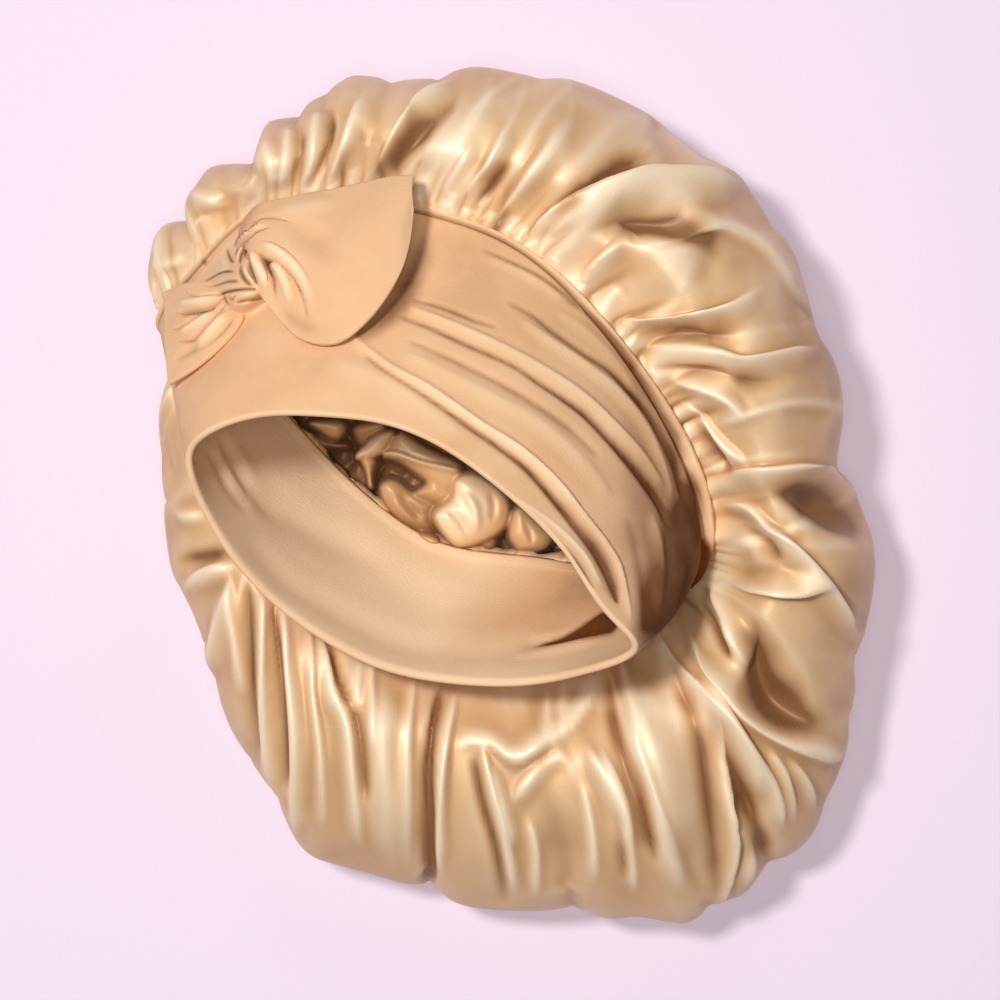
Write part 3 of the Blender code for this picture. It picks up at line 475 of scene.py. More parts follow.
# Small folds of those heaps, in the form of the others
HEAP_CREASES = [
    ("big_fold", 0.3, 0.5, ((-18, 3, 3, 1.0), (-13, -3, 4, 1.8), (-12, -10, 4, 1.4),
        (-13, -15, 3, 0.6))),
    ("big_dip", 0, 0.3, ((-23, -4, 2.5, -0.8), (-18, -9, 3, -1.4), (-15, -15, 3, -0.8))),
    ("big_right", 0, 0.4, ((-8, 3, 2, -0.6), (-6, -3, 2.6, -1.4), (-7, -10, 2.6, -1.0))),
    ("lobe_dip", 0, 0.4, ((-41, 3, 2, -0.6), (-37, -3, 3, -1.4), (-31, -9, 3, -1.0))),
    ("lobe_fold", 0.2, 0.5, ((-43, 0, 2, 0.6), (-39, -5, 2.6, 1.0), (-34, -10, 2.6, 0.8))),
    ("shelf_fold", 0.2, 0.6, ((-38, 17, 2, 0.6), (-30, 14.5, 2.4, 1.2), (-22, 11.5, 2.4, 0.8))),
    ("shelf_dip", 0, 0.4, ((-29, 7, 2, -0.6), (-25, 3, 2.4, -1.2), (-23, -1, 2, -0.8))),
    ("corner_dip", 0, 0.4, ((-70, 25.5, 1.4, -0.4), (-66, 24.5, 1.6, -1.0),
        (-62, 23.5, 1.4, -0.6))),
    ("strip_fold", 0, 0.5, ((-46, 21, 1.2, 0.5), (-49, 17.5, 1.4, 0.9), (-53, 15.5, 1.2, 0.5))),
    ("right_dip", 0, 0.4, ((4, -8, 1.6, -0.5), (7, -13, 2, -1.0), (8, -18, 1.6, -0.5))),
]
HEAP_BOX = (-84, 30, -27, 46)      # left, right, near and far edge of that satin, mm
HEAP_STEP = 0.55
HEAP_SMOOTHED = 2         # passes of smoothing
HEAP_FLOOR = 11.0         # height of the plain cloth between the heaps
HEAP_RIM = 6.5            # height to which that satin is tucked down at its own edge
HEAP_RIM_RUN = 9
HEAP_DOME = 3.0           # how much of a heap's height is its rounded top
HEAP_DOME_RUN = 2.5       # how far that top takes to round up, of the heap's edge
HEAP_SIDE = 0.4           # the smaller, the fuller a heap's side

# The tie ends: rows from the knot outward, an upper and a lower edge and the arch between
BROAD_TAIL = [
    ((-95, 93, 79), (-90.5, 82, 95.5), 1),
    ((-91, 98.5, 88), (-87.5, 75.5, 109), 3),
    ((-86, 101.5, 98), (-85.4, 69.2, 117), 4),
    ((-78, 103, 101), (-80, 61.5, 122.5), 5),
    ((-70, 104.5, 103), (-71, 53, 130), 6),
    ((-59, 106.5, 105), (-59, 51.5, 135), 6),
    ((-48.6, 108.5, 108), (-48, 59.5, 136), 6),
    ((-40, 110, 110.5), (-39.2, 72, 133), 4),
    ((-35.6, 109.8, 112), (-35.2, 84, 127.5), 2.5),
    ((-33.2, 109.5, 113), (-33.2, 99, 120), 1),
]
SMALL_TAIL = [
    ((-98, 73, 94), (-90.5, 66, 108), 1),
    ((-104, 74, 93), (-93, 58.5, 112), 2),
    ((-110, 74.5, 89), (-100, 50.5, 113), 2.5),
    ((-116, 74, 82), (-109, 43.5, 110.5), 2),
    ((-121, 72, 76), (-118, 38.5, 104.5), 1),
]
BROAD_TAIL_CREASES = [
    ("dent", 0, 0.0, ((-79, 97, 6, -0.5), (-72, 91, 7, -1.4), (-64, 85, 8, -1.6),
        (-56, 77, 7, -0.6))),
    ("root_crease", 0, 0.8, ((-86, 83, 1.2, -0.6), (-82.7, 81.3, 1.4, -1.3), (-78.5, 79, 1.4, -1.4),
        (-74.7, 75.2, 1.4, -1.2), (-71.9, 71, 1.3, -0.9), (-70, 66, 1.2, -0.5),
        (-68.4, 60, 1.2, -0.3))),
    ("root_roll", 0.2, 0.4, ((-86, 87, 2.4, 0.8), (-80, 83.5, 3, 1.8), (-75, 79.5, 3, 1.8),
        (-70.5, 73.5, 2.8, 1.2), (-67, 65, 2.6, 0.4))),
    ("root_wedge", 0, 0.4, ((-87, 83.5, 2, -2.0), (-84, 80, 2.6, -3.2), (-81.6, 76, 2.6, -2.8),
        (-80.6, 71, 2, -1.2), (-80, 67, 1.6, -0.4))),
    ("root_ridge", 0.2, 0.4, ((-83, 80.5, 1.6, 0.8), (-79.4, 77, 2.2, 1.6), (-76.6, 72, 2.4, 1.4),
        (-74.6, 65, 2.4, 0.6))),
    ("low_soft", 0, 0.1, ((-80, 66, 4, -0.5), (-72, 59, 5, -1.2), (-62, 56, 5, -0.8))),
    ("top_soft", 0, 0.1, ((-84, 97, 4, 0.5), (-72, 99, 5, 1.0), (-58, 101, 5, 0.6))),
    ("strip_line", 0.2, 0.5, ((-90, 94, 1.4, -0.6), (-85, 96, 1.6, -1.0), (-80, 95.6, 1.6, -0.8),
        (-75, 94, 1.4, -0.3))),
]
SMALL_TAIL_CREASES = [
    ("pleat_0", 0.2, 0.6, ((-113, 71, 1.2, -0.6), (-108.5, 69.4, 1.6, -1.4),
        (-105.2, 69.2, 1.6, -1.6), (-101.4, 69.6, 1.4, -1.6), (-98, 70.6, 1.2, -1.0))),
    ("pleat_1", 0.3, 0.6, ((-117, 63.6, 2.2, -1.2), (-111.8, 64, 2.6, -2.6),
        (-108, 64.7, 2.4, -3.0), (-104.2, 65.7, 2.0, -3.0), (-99, 68.6, 1.6, -2.0))),
    ("pleat_2", 0.3, 0.6, ((-117, 57.6, 1.4, -1.0), (-112.7, 59.5, 1.8, -2.0),
        (-108.5, 61.9, 1.8, -2.4), (-105, 63.3, 1.5, -2.0), (-100.5, 66.4, 1.2, -1.0))),
    ("pleat_3", 0.3, 0.6, ((-115, 53.6, 1.4, -1.0), (-110.3, 54.1, 1.8, -2.0),
        (-108, 55.8, 1.9, -2.4), (-105.2, 58.6, 1.9, -2.6), (-102.3, 61.9, 1.6, -2.4),
        (-98, 66, 1.2, -1.2))),
    ("top_1", 0, 0.3, ((-116, 67.4, 2, 0.6), (-108, 67.2, 2.2, 1.4), (-100, 69.2, 1.8, 1.2))),
    ("top_3", 0, 0.3, ((-115, 56, 2, 0.6), (-108.5, 58.9, 2.2, 1.6), (-102, 63.6, 1.8, 1.2))),
    ("top_4", 0, 0.3, ((-109, 50, 2.4, 0.8), (-103, 56, 2.8, 1.8), (-97, 63.4, 2, 1.2))),
    ("low_dent", 0, 0.2, ((-117, 46, 2.4, -0.4), (-110, 50, 2.8, -1.0), (-101, 55.4, 2.6, -1.2),
        (-94.5, 62, 2, -0.8))),
]

# The folds that cut the knot's twist, in the same form
KNOT_CREASES = [
    ("eye", 0, 0.6, ((-92.2, 86.8, 1.6, -2.0), (-91.6, 84.6, 2.2, -5.5), (-91.6, 82.0, 1.6, -3.0))),
    ("eye_arc", 0.2, 0.5, ((-93.3, 79.5, 1.2, -1.2), (-93.7, 82.6, 1.6, -2.4),
        (-92.9, 86, 1.7, -3.0), (-91, 88.9, 1.7, -3.0), (-88.2, 91.2, 1.6, -2.6),
        (-84.9, 92.3, 1.4, -1.6), (-82.1, 92.2, 1.2, -0.6))),
    ("outer_arc", 0.2, 0.6, ((-95.7, 82.6, 1.0, -0.5), (-95.6, 85.4, 1.3, -1.3),
        (-93.9, 88.6, 1.4, -1.7), (-91, 91.5, 1.4, -1.6), (-88.2, 93.4, 1.2, -0.8))),
    ("arc_ridge", 0.3, 0.4, ((-94.8, 81, 1.4, 0.8), (-94.7, 84, 1.6, 1.6), (-93.3, 87.4, 1.7, 2.0),
        (-90.9, 90.2, 1.7, 2.0), (-87.6, 92.2, 1.6, 1.6), (-84, 93.4, 1.4, 0.8))),
    ("inner_edge", 0, 0.5, ((-93.5, 80.7, 1.1, -1.2), (-92.8, 77, 1.4, -2.2),
        (-91, 74.1, 1.4, -2.2), (-88.2, 71.8, 1.2, -1.2))),
    ("inner_ridge", 0.2, 0.4, ((-91.8, 80.8, 1.4, 0.8), (-91, 77.4, 1.6, 1.6),
        (-89.2, 74.6, 1.5, 1.4), (-87, 72.4, 1.3, 0.8))),
    ("main_edge", 0, 0.5, ((-90, 84, 1.0, -1.2), (-89.3, 80, 1.4, -2.4), (-88.1, 76, 1.4, -2.4),
        (-86.3, 72.2, 1.2, -1.4))),
    ("main_ridge", 0.3, 0.4, ((-88.9, 84.5, 1.6, 1.0), (-87.3, 80.4, 2.0, 2.4),
        (-85.4, 76, 2.0, 2.4), (-83.6, 71.4, 1.8, 1.4))),
    ("wedge", 0, 0.4, ((-87.7, 85, 1.2, -1.6), (-85, 82.2, 1.8, -3.4), (-83, 78.8, 2.0, -3.4),
        (-82, 75, 1.8, -2.0))),
    ("left_line", 0.1, 0.7, ((-108, 75, 1.2, -0.6), (-104, 76.8, 1.3, -1.3),
        (-101, 77.9, 1.4, -1.5), (-98, 78.1, 1.4, -1.5), (-94.8, 77.3, 1.2, -0.8))),
    ("left_roll", 0, 0.4, ((-102.5, 78.4, 1.8, 0.5), (-99.5, 79.3, 2.0, 1.0),
        (-96.4, 79.3, 1.8, 0.5))),
    ("left_fold_1", 0, 0.7, ((-100, 88, 1.2, -0.6), (-98.6, 84.6, 1.4, -1.5),
        (-97.2, 82.2, 1.4, -1.5), (-95.4, 80.4, 1.2, -0.8))),
    ("left_fold_2", 0, 0.4, ((-101, 84.4, 1.6, 0.5), (-99.8, 81.6, 1.8, 0.9),
        (-98.2, 79.8, 1.5, 0.4))),
    ("left_low", 0.1, 0.6, ((-106, 72.6, 1.2, -0.6), (-101.5, 73.4, 1.3, -1.2),
        (-98.2, 74.1, 1.5, -1.3), (-95, 74.2, 1.5, -1.2), (-92.5, 73.6, 1.3, -0.6))),
    ("wrap_top", 0, 0.6, ((-100.4, 70.2, 1.0, -1.2), (-97.5, 70.6, 1.2, -1.8),
        (-93.6, 71, 1.2, -1.8), (-89.6, 71.2, 1.2, -1.8), (-86.2, 70.8, 1.0, -1.0))),
    ("wrap_left", 0, 0.6, ((-99.4, 70.3, 0.9, -0.8), (-98.4, 67.4, 1.1, -1.4),
        (-96.8, 65.4, 1.0, -1.0))),
    ("wrap_roll", 0, 0.3, ((-97.6, 69, 1.4, 0.7), (-94, 69.3, 1.6, 1.2), (-90, 69.6, 1.6, 1.2),
        (-86.6, 69.8, 1.4, 0.7))),
    ("wrap_fold", 0, 0.6, ((-97.8, 69.4, 0.8, -0.5), (-96, 67.7, 0.9, -1.0), (-94.6, 69, 0.9, -1.0),
        (-90.4, 69.6, 0.9, -0.7))),
    ("wrap_under", 0, 0.5, ((-95.2, 66.6, 1.0, -1.0), (-90.6, 67.2, 1.2, -1.8),
        (-87, 67.6, 1.2, -1.8), (-84.4, 68.6, 1.0, -1.0))),
]
TWIST_CREASES = KNOT_CREASES + BROAD_TAIL_CREASES + SMALL_TAIL_CREASES
# The knot swells up from the band inside this outline, seen from above
KNOT_OUTLINE = [(-113, 73.5), (-107.5, 81), (-100, 88.5), (-91, 95.5), (-84, 97), (-80, 93),
                (-79, 85), (-80, 77), (-82, 69), (-88, 63), (-98, 61), (-107, 65), (-113, 69)]

# Colours of the painted shade at a fold's bottom, of the plain cloth, and of the painted highlight
# on a fold's top
SATIN_PAINTED_TONES = ((0.25, 0.11, 0.04), (0.72, 0.455, 0.24), (0.98, 0.80, 0.57))
JERSEY_PAINTED_TONES = ((0.14, 0.042, 0.008), (0.78, 0.48, 0.27), (1.0, 0.75, 0.50))

# What a surface's painted shade and highlight are made of: low, creased cloth is painted darker
# and raised cloth lighter.  HIGH is the height in mm that alone would make the tone full; LINE is
# the weight of the painted shade that a pressed fold brings.
BAG_HIGH = 20
BAG_FINE_HIGH = 2.2       # of the cloth's fine relief
BAG_LINE = 0.7
BAG_SEAM_SHEEN = (0.5, 20)      # painted sheen: how much lighter the satin is painted at the seam, and over what depth
# Painted shade: the bunched satin is painted darker the lower it lies, in the gaps between heaps,
# and lighter on their tops
HEAP_MIDDLE = 33          # height of the bunched satin that has the plain tone
HEAP_HIGH = 8
HEAP_PAINTED_RANGE = (-1.4, 0.7)
# Painted shade: the crown's underside is painted darker the lower it lies
BASE_MIDDLE = 8
BASE_HIGH = 20
BAND_HIGH = 8
BAND_LINE = 1.3
LIP_PAINTED_LIGHT = 0.6           # how much lighter the lip is painted, as painted highlight, where the crease beside it is painted darker by 1 as painted shade
LIP_PAINTED_WIDE = 0.7
INNER_PAINTED_LIGHT = 1.0          # painted light: how much lighter the band's inner face is painted
HEM_TONE = 0.3            # and of its hem
TAIL_HIGH = 9
KNOT_HIGH = 7
KNOT_TONE = 0.25          # of the knot where it has no fold
TWIST_LINE = 1.8

# Gathers that the seam pushes into the satin: folds a turn, height, and the depth from the
# seam over which they fade.
#    count height reach seed
GATHERS = [
    (132, 1.5, 17, 3),
    (64, 1.8, 30, 5),
    (27, 1.6, 75, 8),
]
# Pressed folds that run on toward the rim: folds a turn, height, the depth from the seam where
# they start and the depth over which they fade.
#    count height start reach seed
PLEATS = [
    (46, 1.3, 4, 70, 14),
    (30, 1.9, 14, 110, 17),
    (74, 0.7, 0, 60, 19),
]
# Both wander sideways on their way out: cells a turn and their depth, share of a fold's width,
# and the depth over which a fold turns into its neighbour.
GATHER_WANDER = (20, 30, 0.15, 70)
PLEAT_WANDER = (16, 40, 0.3, 110)
WANDER_SEED = 50          # added to a row's seed
# Their form: how blunt the edge is that they turn on, how steep they are beside it, and how
# wide the line of painted shade or painted light along it is.
GATHER_FORM = (0.02, 1.6, 0.13)
PLEAT_FORM = (0.004, 1.5, 0.12)
PLEAT_LOWEST = -0.5       # share of a pleat's height that the cloth dips beside it
PLEAT_START_RUN = 12
PATCH_DEPTH = 80          # pleats show in patches this deep, and come up between these heights
PATCH_FROM = (-0.3, 0.5)  # of a ripple of its own
PATCH_SEED = 90
LONG_REACH = 50           # swells that reach further than this have no painted shade of their own
GATHER_PAINTED_SHADING = 0.55        # painted shade between gathers, and painted light on a pleat

# How the satin is let loose as cloth: it is cut this much too large for its place, so it
# buckles into wrinkles, while soft springs hold its form.
SETTLE_GROWTH = 0.014
SETTLE_FRAMES = 24
SETTLE_HOLD = 0.12        # hold of those springs in the middle, where full is 1
SETTLE_SEAM = 0.03        # share of the rows over which the seam's full hold gives way
SETTLE_RIM = (0.8, 0.9)   # and between which full hold comes back toward the floor

# Waves of the plain cloth that lies under the heaps
WAVE_SEED = 12
WAVES = 5
WAVE_HIGH = 1.6
WAVE_WAYS = (0, 3.1)      # the way each runs, where it starts and how close its tops are
WAVE_PHASES = (0, 6)
WAVE_PACES = (0.15, 0.5)

# Waves of the crown's underside
#    count cell seed height
BASE_WAVES = [
    (30, 22, 21, 1.6),
    (13, 30, 22, 2.4),
]
BASE_OVERLAP = 2          # how far the underside runs on under the flank
BASE_LIFT = (22, 28)      # its lower face leaves the floor between these depths from its edge
BASE_WAVES_FROM = (26, 44)
BASE_MID = 1.0            # height of its middle
BASE_SMOOTHED = 2

# ---------------------------------------------------------------- looks and stage

# The two cloths.  A noise is (scale, detail, stretch), and a relief is (depth in m, strength).
# "cloud_tone" is how far the blotches shift the tone, "gloss" the roughness along the threads.
NOISE_SPAN = (0.3, 0.7)   # the values between which a noise has its full effect
SATIN_LOOK = {
    "tones": SATIN_PAINTED_TONES,
    "cloud": (26, 3),
    "cloud_tone": (-0.10, 0.14),
    "threads": (900, 2, (1, 0.12, 1)),
    "thread_relief": (0.00010, 0.5),
    "grain": (1700, 2),
    "grain_relief": (0.00010, 0.5),
    "gloss": (0.44, 0.54),
    "shader": {"Metallic": 0.14, "Sheen Weight": 0.10, "Sheen Roughness": 0.4,
               "Sheen Tint": (1.0, 0.86, 0.70, 1)},
}
JERSEY_LOOK = {
    "tones": JERSEY_PAINTED_TONES,
    "cloud": (40, 3),
    "cloud_tone": (-0.10, 0.20),
    "threads": (1400, 1, (0.35, 1, 1)),
    "thread_relief": (0.00016, 0.6),
    "grain": (1500, 2),
    "grain_relief": (0.00016, 0.5),
    "shader": {"Roughness": 0.82, "Specular IOR Level": 0.12, "Sheen Weight": 0.03,
               "Sheen Roughness": 0.5, "Sheen Tint": (1.0, 0.84, 0.68, 1)},
}
SATIN_ROUND = 0.9         # length of the cloth round the bonnet on its texture map, m
JERSEY_ROUND = 0.5

CAMERA_PLACE = (-0.0047, -0.0021, 1.6)     # straight above the bonnet, m
CAMERA_SENSOR = 36.0
CAMERA_LENS = 156.0
FLOOR_HALF = 4            # half its side, m
FLOOR_DROP = 0.0003       # how far it lies below the bonnet, m
FLOOR_LOOK = {"Base Color": (0.62, 0.53, 0.63, 1), "Roughness": 0.9,
              "Emission Color": (0.93, 0.80, 0.95, 1), "Emission Strength": 0.29}
WORLD_LOOK = {"Color": (0.95, 0.86, 0.88, 1), "Strength": 0.07}
LIGHT_AIM = Vector((0, 0, 0.05))
#    name    place                size  power colour
LIGHTS = [
    ("key", (-0.50, 0.27, 1.87), 0.24, 27, (1.0, 0.97, 0.93)),
    ("fill", (0.30, 1.15, 1.45), 0.60, 2, (1.0, 0.94, 0.88)),
    ("top", (0.0, -0.1, 2.2), 0.50, 12, (1.0, 0.97, 0.95)),
]

# ---------------------------------------------------------------- curves and fields


def unit(vectors):
    return vectors / np.maximum(np.linalg.norm(vectors, axis=-1, keepdims=True), 1e-9)


def smooth(x, low=0.0, high=1.0):
    """0 below low, 1 above high, a smooth step between."""
    t = np.clip((x - low) / (high - low), 0, 1)
    return t * t * (3 - 2 * t)


def bell(x):
    """1 at 0, falling off to nothing on both sides."""
    return np.exp(-x ** 2)


def half_round(along, half):
    """Height of a roll of this half width that starts where along is 0."""
    return np.sqrt(np.clip(1 - ((along - half) / half) ** 2, 0, 1)) * half


def spline_weights(t):
    """Weights of the four neighbouring controls of a uniform cubic B-spline."""
    return np.stack([(1 - t) ** 3, 3 * t ** 3 - 6 * t ** 2 + 4,
                     -3 * t ** 3 + 3 * t ** 2 + 3 * t + 1, t ** 3], axis=-1) / 6


def closed_spline(values, turns):
    """Smooth closed curve through the rows of values, read at turns from 0 to 1."""
    values = np.asarray(values, float)
    count = len(values)
    system = np.eye(count) * 4
    for row in range(count):
        system[row, row - 1] += 1
        system[row, (row + 1) % count] += 1
    controls = np.linalg.solve(system / 6, values)
    place = np.asarray(turns) * count
    first = np.floor(place).astype(int)
    weights = spline_weights(place - first)
    picks = (first[:, None] + np.arange(-1, 3)) % count
    return np.einsum("ij,ij...->i...", weights, controls[picks])


def open_spline(values, places):
    """Smooth curve through the rows of values, read at places from 0 to 1."""
    values = np.asarray(values, float)
    before = 2 * values[:1] - values[1:2]
    beyond = 2 * values[-1:] - values[-2:-1]
    ends = np.concatenate([before, values, beyond])
    place = np.asarray(places) * (len(values) - 1)
    first = np.minimum(np.floor(place).astype(int), len(values) - 2)
    t = (place - first)[:, None]
    a, b, c, d = (ends[first + k] for k in range(4))
    return 0.5 * (2 * b + (c - a) * t + (2 * a - 5 * b + 4 * c - d) * t ** 2
                  + (3 * b - a - 3 * c + d) * t ** 3)


def bezier(p0, p1, p2, p3, steps):
    """Rows of points along one cubic for every column, shaped (steps, columns, 3)."""
    t = np.asarray(steps)[:, None, None]
    return (p0 * (1 - t) ** 3 + p1 * 3 * t * (1 - t) ** 2
            + p2 * 3 * t ** 2 * (1 - t) + p3 * t ** 3)


def grid_normals(grid, closed=True):
    """Unit normals of a grid of rows and columns, closed or open across its columns."""
    if closed:
        across = np.roll(grid, -1, axis=1) - np.roll(grid, 1, axis=1)
    else:
        across = np.gradient(grid, axis=1)
    along = np.gradient(grid, axis=0)
    return unit(np.cross(across, along))


def grid_depths(grid):
    """How far each point of a grid lies from the first row, along its column."""
    steps = np.linalg.norm(np.diff(grid, axis=0), axis=-1)
    return np.concatenate([np.zeros((1, grid.shape[1])), np.cumsum(steps, axis=0)])


def blurred(grid, passes):
    """A closed grid smoothed along its rows and round its columns."""
    for _ in range(passes):
        grid = (np.roll(grid, 1, axis=1) + grid * 2 + np.roll(grid, -1, axis=1)) / 4
        inner = (grid[:-2] + grid[1:-1] * 2 + grid[2:]) / 4
        grid = np.concatenate([grid[:1], inner, grid[-1:]])
    return grid


def columns_of(field, turns):
    """One column of the section table, read all round the bonnet."""
    values = [row[field] for row in SECTIONS]
    if np.ndim(values) == 1:
        values = [(value,) for value in values]
    return closed_spline(values, turns)


def ripple(turns, depth, count, cell, seed):
    """Waves round the bonnet that wander with depth: count cells a turn, each this deep."""
    rng = np.random.default_rng(seed)
    layers = int(np.ceil(depth.max() / cell)) + 2
    lattice = rng.uniform(-1, 1, (layers, count))
    place = np.broadcast_to(turns * count, depth.shape)
    first = np.floor(place).astype(int)
    weights = spline_weights(place - first)
    level = depth / cell
    low = np.clip(np.floor(level).astype(int), 0, layers - 2)
    share = smooth(level - low)
    total = np.zeros(depth.shape)
    for k in range(4):
        pick = (first + k - 1) % count
        value = lattice[low, pick] * (1 - share) + lattice[low + 1, pick] * share
        total += weights[..., k] * value
    return total * RIPPLE_GAIN


def crease_profile(x, sharp):
    """1 on the line and 0 from half width out: a soft swell, or a pressed crease."""
    x = np.clip(x, 0, 1)
    swell = 1 - 3 * x ** 2 + 2 * x ** 3
    return swell * (1 - sharp) + (1 - x) ** 2 * sharp


def crease_stations(line, steps):
    """A fold's line in small steps, with its ends coming to a point."""
    stations = open_spline(line, np.linspace(0, 1, steps * (len(line) - 1) + 1))
    run = np.concatenate([[0], np.cumsum(np.hypot(*np.diff(stations[:, :2], axis=0).T))])
    from_end = np.minimum(run, run[-1] - run)
    point = smooth(from_end / (END_POINT * stations[:, 2]))
    stations[:, 2] *= 0.5 + 0.5 * point
    stations[:, 3] *= point
    return stations


def crease_fields(plan, creases, steps, full):
    """Lift along the normal, shift in plan and painted shade or highlight that a list of creases
    makes at each point.

    The painted shading is -1, painted shade, in a pressed crease that is as deep as full, and 1, a
    painted highlight, on a ridge as high.
    """
    lift = np.zeros(plan.shape[:-1])
    tone = np.zeros(plan.shape[:-1])
    shift = np.zeros(plan.shape)
    for _name, lean, sharp, line in creases:
        stations = crease_stations(line, steps)
        widest = stations[:, 2].max()
        low = stations[:, :2].min(axis=0) - widest
        high = stations[:, :2].max(axis=0) + widest
        near = np.all((plan > low) & (plan < high), axis=-1)
        points = plan[near]
        if not len(points):
            continue
        best = np.full(len(points), 1e9)
        width = np.ones(len(points))
        height = np.zeros(len(points))
        side = np.zeros((len(points), 2))
        across = np.zeros(len(points))
        for start, end in zip(stations[:-1], stations[1:]):
            run = end[:2] - start[:2]
            length = max(np.hypot(*run), 1e-6)
            sideways = np.array([-run[1], run[0]]) / length
            share = np.clip(((points - start[:2]) @ run) / length ** 2, 0, 1)
            offset = points - start[:2] - share[:, None] * run
            away = np.hypot(offset[:, 0], offset[:, 1])
            closer = away < best
            best[closer] = away[closer]
            width[closer] = (start[2] + (end[2] - start[2]) * share)[closer]
            height[closer] = (start[3] + (end[3] - start[3]) * share)[closer]
            side[closer] = sideways
            across[closer] = (offset @ sideways)[closer]
        steep = min(abs(lean) * LEE_STEEP, LEE_MOST)
        steep = smooth(across * np.sign(lean), -LEE_SOFT, LEE_SOFT) * steep
        reach = best / (width * (1 - steep))
        amount = height * crease_profile(reach, sharp)
        lift[near] += amount
        tone[near] += np.clip(height / full, -1, 1) * sharp * (1 - np.clip(reach, 0, 1)) ** 2
        shift[near] += side * (amount * lean)[:, None]
    return lift, shift, tone


def narrowed(creases):
    """The same folds, with the pressed valleys between them narrower and less deep."""
    fitted = []
    for name, lean, sharp, line in creases:
        if sharp > PRESSED:
            line = [(x, y, width * VALLEY_WIDTH, height * VALLEY_DEPTH) if height < 0
                    else (x, y, width, height) for x, y, width, height in line]
        fitted.append((name, lean, sharp, line))
    return fitted


def edge_depth(spots, outline):
    """How far inside an outline each spot lies, in mm, and below 0 outside it."""
    steps = OUTLINE_STEPS * len(outline)
    line = closed_spline(outline, np.arange(steps) / steps)
    nearest = np.full(len(spots), 1e9)
    inside = np.zeros(len(spots), bool)
    for start, end in zip(line, np.roll(line, -1, axis=0)):
        run = end - start
        share = np.clip(((spots - start) @ run) / max(run @ run, 1e-9), 0, 1)
        offset = spots - start - share[:, None] * run
        nearest = np.minimum(nearest, np.hypot(offset[:, 0], offset[:, 1]))
        crosses = (start[1] > spots[:, 1]) != (end[1] > spots[:, 1])
        with np.errstate(divide="ignore", invalid="ignore"):
            at = start[0] + (spots[:, 1] - start[1]) / (end[1] - start[1]) * run[0]
        inside ^= crosses & (spots[:, 0] < at)
    return np.where(inside, nearest, -nearest)


# ---------------------------------------------------------------- meshes


def mesh_piece(name, points, faces, material, uv, painted_shading):
    """A smooth mesh in the frame from points in mm, with a texture map in metres and painted shade
    and highlight in its crest attribute.
    """
    points = (np.asarray(points).reshape(-1, 3) + PLACE) * MM
    mesh = bpy.data.meshes.new(name)
    mesh.from_pydata(points.tolist(), [], faces)
    mesh.materials.append(material)
    mesh.shade_smooth()
    layer = mesh.uv_layers.new(name="cloth")
    picks = np.empty(len(mesh.loops), dtype=np.int32)
    mesh.loops.foreach_get("vertex_index", picks)
    layer.data.foreach_set("uv", np.asarray(uv, np.float32)[picks].ravel())
    # the crest attribute holds painted shade and painted highlight
    layer = mesh.attributes.new("crest", "FLOAT", "POINT")
    layer.data.foreach_set("value", np.asarray(painted_shading, np.float32).ravel())
    piece = bpy.data.objects.new(name, mesh)
    bpy.context.scene.collection.objects.link(piece)
    return piece


def both_faces(upper, under, width):
    """The points of two grids, or their tones or map places, in one list."""
    return np.concatenate([upper.reshape(-1, width), under.reshape(-1, width)])


def sheet_piece(name, upper, under, faces, material, painted_shading):
    """A piece from its upper and under face, with only the points that its quads use."""
    points = both_faces(upper, under, 3)
    piece = mesh_piece(name, points, faces, material, points[:, :2] * MM, painted_shading)
    shape = bmesh.new()
    shape.from_mesh(piece.data)
    loose = [vert for vert in shape.verts if not vert.link_faces]
    bmesh.ops.delete(shape, geom=loose, context="VERTS")
    bmesh.ops.recalc_face_normals(shape, faces=shape.faces)
    shape.to_mesh(piece.data)
    shape.free()
    return piece


def loop_strips(start, rows, columns, flip=False):
    """Quads of a grid that closes round its columns."""
    row = np.arange(rows - 1)[:, None]
    here = np.arange(columns)[None]
    after = (here + 1) % columns
    a = start + row * columns + here
    b = start + row * columns + after
    quads = np.stack([a, b, b + columns, a + columns], axis=-1).reshape(-1, 4)
    return (quads[:, ::-1] if flip else quads).tolist()


def join_rings(first, second, columns):
    """Quads between two closed rings of equal count."""
    here = np.arange(columns)
    after = (here + 1) % columns
    return np.stack([second + here, second + after, first + after, first + here],
                    axis=-1).tolist()


def sheet_numbers(rows, columns):
    """Point numbers of a sheet's upper and under face, which share their rim."""
    upper = np.arange(rows * columns).reshape(rows, columns)
    under = upper + rows * columns
    for rim in (np.s_[0], np.s_[-1], np.s_[:, 0], np.s_[:, -1]):
        under[rim] = upper[rim]
    return upper, under


def sheet_faces(upper, under, cells=...):
    """Quads of a sheet's upper face and, turned over, of its under face."""
    faces = []
    for grid, turn in ((upper, 1), (under, -1)):
        quads = np.stack([grid[:-1, :-1], grid[:-1, 1:], grid[1:, 1:], grid[1:, :-1]], axis=-1)
        faces += quads[cells].reshape(-1, 4)[:, ::turn].tolist()
    return faces


# ---------------------------------------------------------------- satin


def outline_reach(spots):
    """The outline's distance from the middle, in the direction of each spot."""
    puffs = [(*puff, after[0]) for puff, after in zip(OUTLINE, OUTLINE[1:] + OUTLINE[:1])]
    line = np.concatenate([open_spline(puff, np.linspace(0, 1, OUTLINE_STEPS * len(puff)))[:-1]
                           for puff in puffs])
    away = line - CENTRE
    angles = np.arctan2(away[:, 1], away[:, 0])
    order = np.argsort(angles)
    aim = np.arctan2(spots[:, 1] - CENTRE[1], spots[:, 0] - CENTRE[0])
    return np.interp(aim, angles[order], np.hypot(*away[order].T), period=2 * math.pi)


